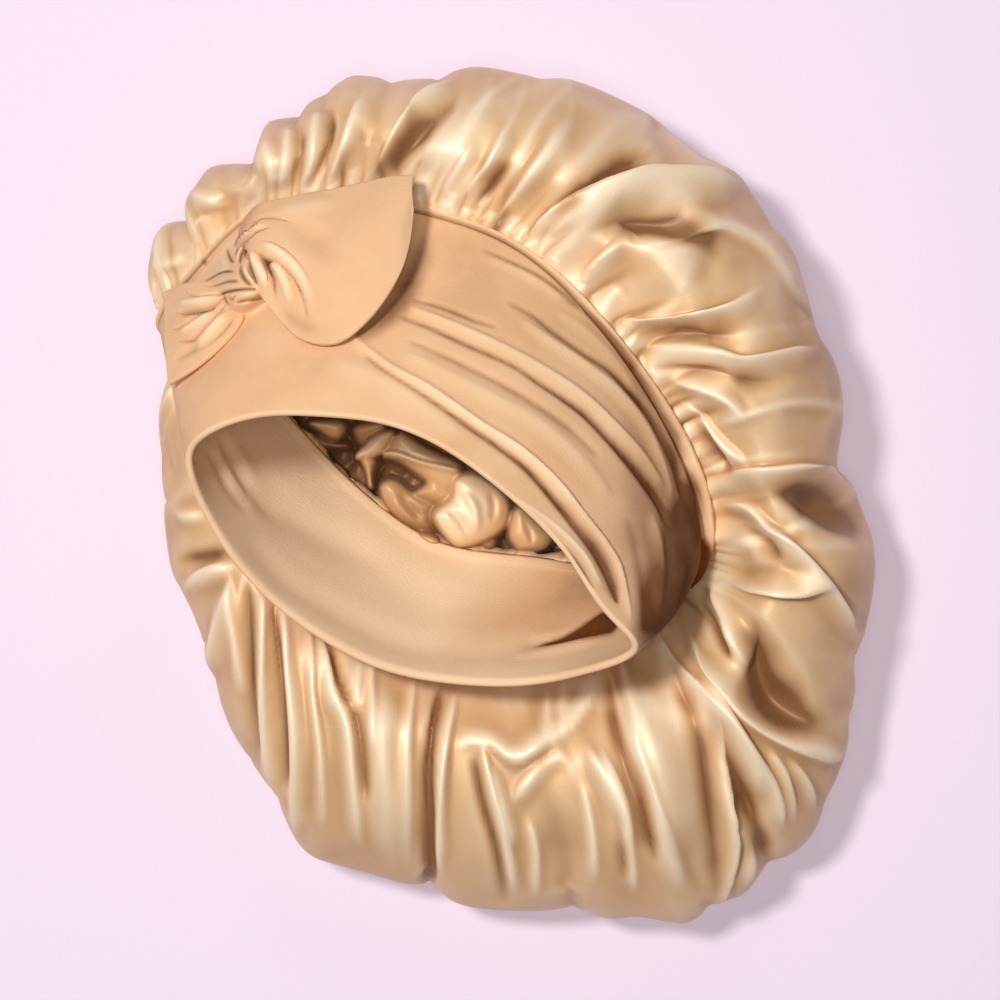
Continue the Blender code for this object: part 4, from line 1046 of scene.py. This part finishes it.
def crown_base(turns):
    """The crown without folds, from the seam over the rim to where it meets the floor."""
    seam, hem, rim, leave, crest_at, crest_height = (
        columns_of(field, turns) for field in (SEAM, HEM, RIM, LEAVE, CREST_AT, CREST_HEIGHT))
    smooth_rim = rim.copy()
    rim[:, :2] = CENTRE + unit(rim[:, :2] - CENTRE) * outline_reach(rim)[:, None]
    onward = unit(seam - hem)
    neck = seam - onward * SEAM_TUCK
    run = (rim - seam) * LEVEL
    crest = seam + run * crest_at
    crest[:, 2:] = crest_height
    rise = bezier(neck, neck + onward * leave, crest - run * crest_at * RISE_EASE, crest,
                  np.linspace(0, 1, RISE_ROWS + 1))
    fall = bezier(crest, crest + run * (1 - crest_at) * CREST_EASE,
                  rim + UP * (crest_height - rim[:, 2:]) * CREST_EASE, rim,
                  np.linspace(0, 1, FALL_ROWS + 1)[1:])
    inward = unit(([*CENTRE, 0.0] - rim) * LEVEL)
    floor = smooth_rim * LEVEL + inward * FLOOR_INSET
    flank = bezier(rim, rim - UP * rim[:, 2:] * FLANK_BELLY, floor - inward * FLOOR_REACH,
                   floor, np.linspace(0, 1, FLANK_ROWS + 1)[1:])
    return np.concatenate([rise, fall, flank]), inward


def settled(grid, hold):
    """The satin let loose as cloth, held by hold (rows), and read back after it settled."""
    rows, columns = grid.shape[:2]
    scene = bpy.context.scene
    mesh = bpy.data.meshes.new("loose")
    mesh.from_pydata((grid.reshape(-1, 3) * MM).tolist(), [], loop_strips(0, rows, columns))
    piece = bpy.data.objects.new("loose", mesh)
    scene.collection.objects.link(piece)
    group = piece.vertex_groups.new(name="hold")
    for row in range(rows):
        group.add(list(range(row * columns, (row + 1) * columns)), float(hold[row]), "REPLACE")
    cloth = piece.modifiers.new("cloth", "CLOTH")
    settings = cloth.settings
    settings.quality = 5
    settings.mass = 0.05
    settings.air_damping = 4
    settings.tension_stiffness = 12
    settings.compression_stiffness = 12
    settings.shear_stiffness = 4
    settings.bending_stiffness = 8
    settings.vertex_group_mass = "hold"
    settings.pin_stiffness = 1
    settings.shrink_min = -SETTLE_GROWTH
    settings.effector_weights.gravity = 0
    cloth.collision_settings.use_collision = False
    cloth.collision_settings.use_self_collision = False
    cloth.point_cache.frame_start = 1
    cloth.point_cache.frame_end = SETTLE_FRAMES
    for number in range(1, SETTLE_FRAMES + 1):
        scene.frame_set(number)
    shape = piece.evaluated_get(bpy.context.evaluated_depsgraph_get()).to_mesh()
    points = np.empty(rows * columns * 3)
    shape.vertices.foreach_get("co", points)
    bpy.data.objects.remove(piece)
    bpy.data.meshes.remove(mesh)
    scene.frame_set(1)
    return points.reshape(rows, columns, 3) / MM


def finer(coarse, rows, columns):
    """A closed coarse grid read at rows by columns."""
    count, around = coarse.shape[:2]
    columns_first = np.swapaxes(coarse, 0, 1).reshape(around, -1)
    spread = closed_spline(columns_first, np.arange(columns) / columns)
    rows_first = np.swapaxes(spread.reshape(columns, count, 3), 0, 1).reshape(count, -1)
    return open_spline(rows_first, np.linspace(0, 1, rows)).reshape(rows, columns, 3)


def wandering(turns, depth, count, seed, wander):
    """A ripple of this many folds, each wandering sideways on its way out."""
    cells, cell, share, fold_cell = wander
    aside = ripple(turns, depth, cells, cell, seed + WANDER_SEED) * share / count
    return ripple(turns + aside, depth, count, fold_cell, seed)


def gathered(turns, depth):
    """Height of the satin's gathers and pleats, and the painted shade between gathers and painted
    light on pleats.
    """
    raised = np.zeros(depth.shape)
    tone = np.zeros(depth.shape)
    blunt, steep, line = GATHER_FORM
    for count, height, reach, seed in GATHERS:
        waves = wandering(turns, depth, count, seed, GATHER_WANDER)
        fade = bell(depth / reach)
        raised += height * (np.sqrt(np.abs(waves) + blunt) * steep - 1) * fade
        if reach < LONG_REACH:
            tone -= GATHER_PAINTED_SHADING * bell(waves / line) * fade
    blunt, steep, line = PLEAT_FORM
    for count, height, start, reach, seed in PLEATS:
        waves = wandering(turns, depth, count, seed, PLEAT_WANDER)
        pressed = 1 - np.sqrt(np.abs(waves) + blunt) * steep
        patches = ripple(turns, depth, count // 2, PATCH_DEPTH, seed + PATCH_SEED)
        strong = (smooth(patches, *PATCH_FROM) * smooth(depth, start, start + PLEAT_START_RUN)
                  * bell(depth / reach))
        raised += height * np.maximum(pressed, PLEAT_LOWEST) * strong
        tone += GATHER_PAINTED_SHADING * bell(waves / line) * strong
    return raised, tone


def behind_wall(outer):
    """Inner face of the satin behind every fold, and the smoothed wall's normals.

    It has half as many rows and columns as the outer face.
    """
    soft = blurred(outer, INNER_SMOOTHED)
    normals = grid_normals(soft)
    dip = np.maximum(((soft - outer) * normals).sum(axis=-1), 0)
    for aside in ((1, 0), (-1, 0), (0, 1), (0, -1)):
        dip = np.maximum(dip, np.roll(dip, aside, axis=(0, 1)))
    inner = (soft - normals * (dip + SATIN_THICK)[..., None])[::2, ::2]
    inner[..., 2] = np.maximum(inner[..., 2], SATIN_THICK)
    return inner, normals


def edge_strip(outer_ring, inner_ring, inner_columns):
    """Faces from a ring to one of half as many points."""
    strip = []
    for k in range(inner_columns):
        a, b = outer_ring + 2 * k, outer_ring + 2 * k + 1
        c = outer_ring + (2 * k + 2) % (2 * inner_columns)
        d, e = inner_ring + k, inner_ring + (k + 1) % inner_columns
        strip += [(a, b, d), (b, c, e, d)]
    return strip


def build_satin_bag(material):
    """The gathered satin from the seam over the rim to the floor, as one closed wall."""
    turns = np.arange(CROWN_COLUMNS) / CROWN_COLUMNS
    base, inward = crown_base(turns)
    rows = len(base)
    rim_row = RISE_ROWS + FALL_ROWS
    depth = grid_depths(base)

    # folds are read in plan, and past the rim on the line that leads straight outward
    plan = base[..., :2].copy()
    past = depth[rim_row:] - depth[rim_row]
    plan[rim_row:] = base[rim_row, :, :2] - inward[:, :2] * past[..., None]
    lift, shift, tone = crease_fields(plan, narrowed(CREASES), *SATIN_READ)
    # painted shade in the satin's hollows and on slopes turned from the light
    shade = crease_fields(plan, SATIN_PAINTED_SHADES, *SATIN_READ)[0]
    # gathers bring painted shade between them and painted light on pleats
    gathers, gather_painted_shading = gathered(turns, depth)

    calm = smooth(depth, 0, CALM)
    row_share = np.arange(rows)[:, None] / (rows - 1)
    off_floor = 1 - smooth(row_share, rim_row / (rows - 1) + FLOOR_CALM, 1.0)
    run = np.linalg.norm((base[rim_row] - base[0])[:, :2], axis=-1)
    room = np.clip(run / ROOM_RUN, ROOM_LEAST, 1)
    amount = lift * FOLD_GAIN * smooth(depth, *FOLD_START) + gathers * calm
    amount = amount * off_floor * room
    outer = base + grid_normals(base) * amount[..., None]
    outer[..., :2] += shift * (calm * off_floor)[..., None]
    tight = smooth(ROOM_TIGHT - room, 0, ROOM_TIGHT_RUN)[:, None]
    outer = blurred(outer, SMOOTHED[0]) * (1 - tight) + blurred(outer, SMOOTHED[1]) * tight
    coarse = blurred(outer, 1)[::2, ::2]
    share = np.linspace(0, 1, len(coarse))
    held = np.maximum(1 - share / SETTLE_SEAM, smooth(share, *SETTLE_RIM))
    wrinkles = settled(coarse, np.maximum(SETTLE_HOLD, held)) - coarse
    outer += finer(wrinkles, rows, CROWN_COLUMNS) * off_floor[..., None]
    outer[..., 2] = np.maximum(outer[..., 2], 0)
    inner, soft_normals = behind_wall(outer)

    inner_rows, inner_columns = inner.shape[:2]
    start = rows * CROWN_COLUMNS
    last_outer = (rows - 1) * CROWN_COLUMNS
    last_inner = start + (inner_rows - 1) * inner_columns
    faces = loop_strips(0, rows, CROWN_COLUMNS)
    faces += loop_strips(start, inner_rows, inner_columns, flip=True)
    faces += [face[::-1] for face in edge_strip(0, start, inner_columns)]
    faces += edge_strip(last_outer, last_inner, inner_columns)

    # painted shade and highlight: the satin is painted darker in hollows, creases and fine dips,
    # lighter on ridges
    fine = ((outer - blurred(outer, FINE_SMOOTHED)) * soft_normals).sum(axis=-1)
    # painted sheen: the satin is painted lighter near the seam
    seam_sheen = BAG_SEAM_SHEEN[0] * bell(depth / BAG_SEAM_SHEEN[1])
    painted_shading = np.clip(amount / BAG_HIGH + fine / BAG_FINE_HIGH + tone * BAG_LINE + shade
                   + seam_sheen + gather_painted_shading, -1, 1)
    uv = np.stack([np.broadcast_to(turns * SATIN_ROUND, depth.shape), depth * MM], axis=-1)
    return mesh_piece("satin_bag", both_faces(outer, inner, 3), faces, material,
                      both_faces(uv, uv[::2, ::2], 2), both_faces(painted_shading, painted_shading[::2, ::2], 1))


def heap_heights(plan):
    """Height of the bunched satin over the crown's floor."""
    spots = plan.reshape(-1, 2)
    rng = np.random.default_rng(WAVE_SEED)
    total = np.full(len(spots), HEAP_FLOOR)
    for _ in range(WAVES):
        way, phase, pace = (rng.uniform(*span) for span in (WAVE_WAYS, WAVE_PHASES, WAVE_PACES))
        along = (spots @ (math.cos(way), math.sin(way))) * pace
        total += WAVE_HIGH * np.abs(np.sin(along + phase))
    for _name, height, rise_x, rise_y, edge, outline in HEAPS:
        middle = np.mean(outline, axis=0)
        depth = edge_depth(spots, outline)
        level = height + (spots - middle) @ (rise_x, rise_y)
        side = np.clip(1 + depth / edge, 0, 1)
        dome = 1 - (1 - np.clip(depth / (edge * HEAP_DOME_RUN), 0, 1)) ** 2
        heap = (level - HEAP_DOME) * side ** HEAP_SIDE + HEAP_DOME * dome
        total = np.where(depth > -edge, np.maximum(total, heap), total)
    return total.reshape(plan.shape[:-1])


def build_satin_inside(material):
    """The bunched satin under the mouth, one closed layer with its edges tucked down."""
    left, right, near, far = HEAP_BOX
    plan = np.stack(np.meshgrid(np.arange(left, right + HEAP_STEP, HEAP_STEP),
                                np.arange(near, far + HEAP_STEP, HEAP_STEP)), axis=-1)
    heights = heap_heights(plan) + crease_fields(plan, HEAP_CREASES, *HEAP_READ)[0]
    for _ in range(HEAP_SMOOTHED):
        beside = heights[:-2, 1:-1] + heights[2:, 1:-1] + heights[1:-1, :-2] + heights[1:-1, 2:]
        heights[1:-1, 1:-1] = (beside + 4 * heights[1:-1, 1:-1]) / 8
    rim = np.minimum(np.minimum(plan[..., 0] - left, right - plan[..., 0]),
                     np.minimum(plan[..., 1] - near, far - plan[..., 1]))
    heights = HEAP_RIM + (heights - HEAP_RIM) * smooth(rim, 0, HEAP_RIM_RUN)
    top = np.concatenate([plan, heights[..., None]], axis=-1)
    under = top - UP * SATIN_THICK
    # painted shade: darker the lower the bunched satin lies
    level = both_faces(top[..., 2], under[..., 2], 1)
    return sheet_piece("satin_inside", top, under, sheet_faces(*sheet_numbers(*heights.shape)),
                       material, np.clip((level - HEAP_MIDDLE) / HEAP_HIGH, *HEAP_PAINTED_RANGE))


def build_satin_base(material):
    """The crown's underside, one closed wall on the floor, with low waves inside."""
    turns = np.arange(BASE_COLUMNS) / BASE_COLUMNS
    rim = columns_of(RIM, turns)
    middle = np.array([*CENTRE, 0.0])
    inward = unit((middle - rim) * LEVEL)
    edge = rim * LEVEL + inward * (FLOOR_INSET - BASE_OVERLAP)
    shares = np.linspace(0, 1, BASE_ROWS + 1)[:-1, None, None]
    sheet = edge + (middle - edge) * shares
    from_edge = np.linalg.norm(sheet[..., :2] - edge[..., :2], axis=-1)
    waves = sum(ripple(turns, from_edge, count, cell, seed) * height
                for count, cell, seed, height in BASE_WAVES)
    top = sheet.copy()
    top[..., 2] = np.abs(waves) * smooth(from_edge, *BASE_WAVES_FROM) + SATIN_THICK
    top = blurred(top, BASE_SMOOTHED)
    bottom = sheet.copy()
    bottom[..., 2] = np.maximum(top[..., 2] - SATIN_THICK, 0) * smooth(from_edge, *BASE_LIFT)
    rows = len(shares)
    count = rows * BASE_COLUMNS
    faces = loop_strips(0, rows, BASE_COLUMNS)
    faces += loop_strips(count, rows, BASE_COLUMNS, flip=True)
    faces += join_rings(0, count, BASE_COLUMNS)
    last = (rows - 1) * BASE_COLUMNS
    for k in range(BASE_COLUMNS):
        after = (k + 1) % BASE_COLUMNS
        faces.append((last + k, last + after, 2 * count))
        faces.append((count + last + after, count + last + k, 2 * count + 1))
    points = np.concatenate([both_faces(top, bottom, 3),
                             [(*CENTRE, BASE_MID + SATIN_THICK), (*CENTRE, BASE_MID)]])
    # painted shade: darker the lower the underside lies
    painted_shading = np.clip((points[:, 2] - BASE_MIDDLE) / BASE_HIGH, -1, 1)
    return mesh_piece("satin_base", points, faces, material, points[:, :2] * MM, painted_shading)


# ---------------------------------------------------------------- jersey


def build_band(material):
    """The band as one closed wall: outer face, rolled hem, inner face."""
    turns = np.arange(BAND_COLUMNS) / BAND_COLUMNS
    seam = columns_of(SEAM, turns)
    hem = columns_of(HEM, turns)
    shares = np.linspace(0, 1, BAND_ROWS + 1)[:, None, None]
    flat = seam + (hem - seam) * shares
    middle = flat - grid_normals(flat) * columns_of(BOW, turns) * np.sin(np.pi * shares)
    plan = middle[..., :2]
    out = -grid_normals(middle)
    along = np.linalg.norm(hem - seam, axis=-1)[None] * shares[..., 0]
    ends = np.sin(np.pi * np.clip(shares[..., 0], FOLDS_FROM, 1 - FOLDS_FROM)) ** 0.5
    slack = ripple(turns, along, *SLACK) * SLACK_HIGH * ends

    looks_up = smooth(out[..., 2], *FACING)
    lift, shift, tone = crease_fields(plan, BAND_CREASES, *BAND_READ)
    nape = bell((turns - NAPE_TURN) / NAPE_SPREAD)
    lip = (LIP_NARROW + (LIP_BROAD - LIP_NARROW) * nape)[None]
    tuck = LIP_TUCK * lip * bell((along - TUCK_AT * lip) / (TUCK_WIDE * lip))
    raised = (lift * ends + slack) * looks_up + half_round(along, lip) * LIP_ROUND - tuck
    outer = middle + out * (JERSEY_THICK / 2 + raised)[..., None]
    outer[..., :2] += shift * (ends * looks_up)[..., None]

    inner_lift = crease_fields(plan, INNER_CREASES, *BAND_READ)[0] * ends
    raised = inner_lift + slack * SLACK_INSIDE + half_round(along, SEAM_ROLL) * SEAM_ROUND
    raised = raised * smooth(-out[..., 2], *FACING)
    inner = middle - out * (JERSEY_THICK / 2 + raised)[..., None]

    # the hem rolls over in a half circle
    onward = unit(hem - seam)
    arcs = []
    for step in range(1, HEM_STEPS):
        angle = math.pi * step / HEM_STEPS
        arcs.append((outer[-1] + inner[-1]) / 2 + (outer[-1] - inner[-1]) / 2 * math.cos(angle)
                    + onward * HEM_ROUND * math.sin(angle))
    rings = np.concatenate([outer, np.array(arcs), inner[::-INNER_EACH]])
    count = len(rings)
    faces = loop_strips(0, count, BAND_COLUMNS, flip=True)
    faces += join_rings((count - 1) * BAND_COLUMNS, 0, BAND_COLUMNS)
    depth = grid_depths(rings)
    uv = np.stack([np.broadcast_to(turns * JERSEY_ROUND, depth.shape), depth * MM], axis=-1)

    # painted shade at the nape, in the inner slit and under the tie end; painted light on the
    # nape's lip
    shade = crease_fields(plan, BAND_PAINTED_SHADES, *BAND_READ)[0]
    inner_shade = crease_fields(plan, INNER_PAINTED_SHADES, *BAND_READ)[0]
    # painted shade in the crease beside the lip, and painted highlight on the lip
    beside = bell((along - TUCK_AT * lip) / (LIP_PAINTED_WIDE * lip))
    lip_painted_light = LIP_PAINTED_LIGHT * bell((along - lip) / (LIP_PAINTED_WIDE * lip))
    # painted light: the inner face is painted lighter
    painted_shading = np.full(depth.shape, INNER_PAINTED_LIGHT)
    painted_shading[:BAND_ROWS + 1] = np.clip(
        lift / BAND_HIGH + tone * BAND_LINE + shade - beside + lip_painted_light, -1, 1)
    painted_shading[BAND_ROWS + 1:BAND_ROWS + HEM_STEPS] = HEM_TONE
    painted_shading[BAND_ROWS + HEM_STEPS:] += inner_shade[::-INNER_EACH]
    return mesh_piece("band_jersey", rings, faces, material, uv.reshape(-1, 2), painted_shading)


def upward_normals(grid):
    normals = grid_normals(grid, closed=False)
    return normals * np.sign(normals[..., 2:])


def build_tail(name, rows, material):
    """A tie end of two layers, its edge rounded down to nothing."""
    places = np.linspace(0, 1, TAIL_ROWS + 1)
    start = open_spline([row[0] for row in rows], places)
    end = open_spline([row[1] for row in rows], places)
    arch = open_spline([(row[2],) for row in rows], places)
    shares = np.linspace(0, 1, TAIL_COLUMNS + 1)
    middle = start[:, None] + (end - start)[:, None] * shares[:, None]
    normals = upward_normals(middle)
    middle = middle + normals * (arch * np.sin(np.pi * shares))[..., None]
    lift, shift, tone = crease_fields(middle[..., :2], TWIST_CREASES, *TWIST_READ)
    middle = middle + normals * lift[..., None]
    middle[..., :2] += shift

    row, column = np.ogrid[:TAIL_ROWS + 1, :TAIL_COLUMNS + 1]
    from_edge = np.minimum(np.minimum(row, TAIL_ROWS - row),
                           np.minimum(column, TAIL_COLUMNS - column)) * TAIL_EDGE_STEP
    bulk = np.sqrt(1 - (1 - np.clip(from_edge, 0, 1)) ** 2)
    half = upward_normals(middle) * (bulk * TAIL_THICK / 2)[..., None]
    # painted shade in the creases and painted light on the ridges
    painted_shading = np.clip(lift / TAIL_HIGH + tone * TWIST_LINE, -1, 1)
    upper, under = sheet_numbers(*painted_shading.shape)
    return sheet_piece(name, middle + half, middle - half, sheet_faces(upper.T, under.T),
                       material, both_faces(painted_shading, painted_shading, 1))


def heights_under(piece, plan):
    """Height of a piece's top at each spot of a plan, in mm, and 0 where it has none."""
    tree = BVHTree.FromPolygons([vert.co[:] for vert in piece.data.vertices],
                                [face.vertices[:] for face in piece.data.polygons])
    down = Vector((0, 0, -1))
    heights = np.zeros(plan.shape[:-1])
    for spot in np.ndindex(heights.shape):
        x, y = (plan[spot] + PLACE[:2]) * MM
        hit = tree.ray_cast(Vector((x, y, 1)), down)[0]
        if hit is not None:
            heights[spot] = hit.z / MM
    return heights


def build_knot(material, band):
    """The knot: cloth that swells up from the band, its twist cut by folds."""
    outline = np.array(KNOT_OUTLINE, float)
    low, high = outline.min(axis=0) - KNOT_EDGE, outline.max(axis=0) + KNOT_EDGE
    plan = np.stack(np.meshgrid(np.arange(low[0], high[0], KNOT_STEP),
                                np.arange(low[1], high[1], KNOT_STEP)), axis=-1)
    ground = heights_under(band, plan)
    depth = edge_depth(plan.reshape(-1, 2), outline).reshape(ground.shape)
    turn = smooth((plan - outline.mean(axis=0)) @ KNOT_TURN, 0, KNOT_TURN_RUN)
    reach = KNOT_REACH[0] + (KNOT_REACH[1] - KNOT_REACH[0]) * turn
    lift, _, tone = crease_fields(plan, TWIST_CREASES, *TWIST_READ)
    swell = KNOT_HEIGHT * smooth(depth / reach) + lift * smooth(depth, 0, KNOT_FOLDS_FROM)
    top = ground + np.maximum(swell + np.minimum(depth, 0) * KNOT_EDGE_SLOPE, -KNOT_SINK)
    under = np.minimum(top, ground) - KNOT_SINK

    # a point off the edge has four cells round it, and one of its own on the under face
    kept = (ground > 0) & (depth > -KNOT_EDGE)
    cells = kept[:-1, :-1] & kept[:-1, 1:] & kept[1:, 1:] & kept[1:, :-1]
    around = np.pad(cells, 1)
    enclosed = around[:-1, :-1] & around[:-1, 1:] & around[1:, 1:] & around[1:, :-1]
    number = np.arange(top.size).reshape(top.shape)
    faces = sheet_faces(number, np.where(enclosed, number + top.size, number), cells)
    # painted shade in the creases and painted light on the ridges
    painted_shading = np.clip(tone * TWIST_LINE + lift / KNOT_HIGH + KNOT_TONE, -1, 1)
    top, under = (np.concatenate([plan, height[..., None]], axis=-1) for height in (top, under))
    return sheet_piece("knot_twist", top, under, faces, material, both_faces(painted_shading, painted_shading, 1))


# ---------------------------------------------------------------- materials


def new_material(name):
    material = bpy.data.materials.new(name)
    material.use_nodes = True
    return material, material.node_tree, material.node_tree.nodes["Principled BSDF"]


def set_inputs(node, values):
    for socket, value in values.items():
        node.inputs[socket].default_value = value


def noise(tree, where, scale, detail, stretch=(1, 1, 1)):
    """Noise read from the given coordinates, stretched along one way if asked."""
    mapping = tree.nodes.new("ShaderNodeMapping")
    mapping.inputs["Scale"].default_value = stretch
    tree.links.new(where, mapping.inputs["Vector"])
    texture = tree.nodes.new("ShaderNodeTexNoise")
    set_inputs(texture, {"Scale": scale, "Detail": detail})
    tree.links.new(mapping.outputs["Vector"], texture.inputs["Vector"])
    return texture.outputs["Fac"]


def ranged(tree, value, low, high, to_low, to_high):
    """The value carried from low and high to the other two, and held between them."""
    node = tree.nodes.new("ShaderNodeMapRange")
    set_inputs(node, {"From Min": low, "From Max": high, "To Min": to_low, "To Max": to_high})
    tree.links.new(value, node.inputs["Value"])
    return node.outputs["Result"]


def added(tree, first, second):
    node = tree.nodes.new("ShaderNodeMath")
    node.operation = "ADD"
    tree.links.new(first, node.inputs[0])
    tree.links.new(second, node.inputs[1])
    return node.outputs["Value"]


def mixed(tree, share, low, high):
    """A colour that goes from low to high with the share; low may be a socket."""
    mix = tree.nodes.new("ShaderNodeMix")
    mix.data_type = "RGBA"
    if isinstance(low, tuple):
        mix.inputs["A"].default_value = (*low, 1)
    else:
        tree.links.new(low, mix.inputs["A"])
    mix.inputs["B"].default_value = (*high, 1)
    tree.links.new(share, mix.inputs["Factor"])
    return mix.outputs["Result"]


def toned(tree, height, tones):
    """The cloth's colour by painted shading: the painted shade's colour at -1, the plain one at 0,
    the painted highlight's at 1.
    """
    low, middle, high = tones
    raised = mixed(tree, ranged(tree, height, 0, 1, 0, 1), middle, high)
    return mixed(tree, ranged(tree, height, 0, -1, 0, 1), raised, low)


def bump(tree, height, distance, strength, before=None):
    node = tree.nodes.new("ShaderNodeBump")
    set_inputs(node, {"Distance": distance, "Strength": strength})
    tree.links.new(height, node.inputs["Height"])
    if before is not None:
        tree.links.new(before, node.inputs["Normal"])
    return node.outputs["Normal"]


def cloth_material(name, look):
    """A cloth painted darker in its creases and hollows and lighter on its ridges, with threads
    along it and a fine grain.
    """
    material, tree, shader = new_material(name)
    cloth = tree.nodes.new("ShaderNodeUVMap")
    cloth.uv_map = "cloth"
    # the crest attribute: painted shade in creases and hollows, painted highlight on ridges
    crest = tree.nodes.new("ShaderNodeAttribute")
    crest.attribute_name = "crest"
    spot = tree.nodes.new("ShaderNodeTexCoord").outputs["Object"]

    cloudy = ranged(tree, noise(tree, spot, *look["cloud"]), *NOISE_SPAN, *look["cloud_tone"])
    height = added(tree, crest.outputs["Fac"], cloudy)
    tree.links.new(toned(tree, height, look["tones"]), shader.inputs["Base Color"])
    threads = noise(tree, cloth.outputs["UV"], *look["threads"])
    grain = noise(tree, spot, *look["grain"])
    relief = bump(tree, threads, *look["thread_relief"])
    relief = bump(tree, grain, *look["grain_relief"], relief)
    tree.links.new(relief, shader.inputs["Normal"])
    if "gloss" in look:
        gloss = ranged(tree, threads, *NOISE_SPAN, *look["gloss"])
        tree.links.new(gloss, shader.inputs["Roughness"])
    set_inputs(shader, look["shader"])
    return material


# ---------------------------------------------------------------- stage


def area_light(name, place, size, power, colour):
    data = bpy.data.lights.new(name, "AREA")
    data.shape = "DISK"
    data.size = size
    data.energy = power
    data.color = colour
    lamp = bpy.data.objects.new(name, data)
    lamp.location = place
    lamp.rotation_euler = (LIGHT_AIM - Vector(place)).to_track_quat("-Z", "Y").to_euler()
    bpy.context.scene.collection.objects.link(lamp)


def build_stage():
    scene = bpy.context.scene
    scene.view_settings.view_transform = "Standard"
    camera_data = bpy.data.cameras.new("camera")
    camera_data.lens = CAMERA_LENS
    camera_data.sensor_width = CAMERA_SENSOR
    camera = bpy.data.objects.new("camera", camera_data)
    camera.location = CAMERA_PLACE
    scene.collection.objects.link(camera)
    scene.camera = camera

    world = bpy.data.worlds.new("studio")
    world.use_nodes = True
    set_inputs(world.node_tree.nodes["Background"], WORLD_LOOK)
    scene.world = world

    material, _, shader = new_material("floor")
    set_inputs(shader, FLOOR_LOOK)
    mesh = bpy.data.meshes.new("floor")
    corners = [(x * FLOOR_HALF, y * FLOOR_HALF, 0) for x, y in ((-1, -1), (1, -1), (1, 1), (-1, 1))]
    mesh.from_pydata(corners, [], [(0, 1, 2, 3)])
    mesh.materials.append(material)
    floor = bpy.data.objects.new("floor", mesh)
    floor.location.z = -FLOOR_DROP
    scene.collection.objects.link(floor)

    for light in LIGHTS:
        area_light(*light)


# ---------------------------------------------------------------- build

satin = cloth_material("satin", SATIN_LOOK)
jersey = cloth_material("jersey", JERSEY_LOOK)
bag = build_satin_bag(satin)
base = build_satin_base(satin)
inside = build_satin_inside(satin)
band = build_band(jersey)
knot = build_knot(jersey, band)
broad_tail = build_tail("broad_tail_jersey", BROAD_TAIL, jersey)
small_tail = build_tail("small_tail_jersey", SMALL_TAIL, jersey)
for piece, node, slot in ((bag, "crown", "satin"), (base, "crown", "satin"),
                          (inside, "crown", "satin"), (band, "band", "jersey"),
                          (knot, "knot", "jersey"), (broad_tail, "broad_tail", "jersey"),
                          (small_tail, "small_tail", "jersey")):
    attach(piece, "root")
    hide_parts(node)
build_stage()
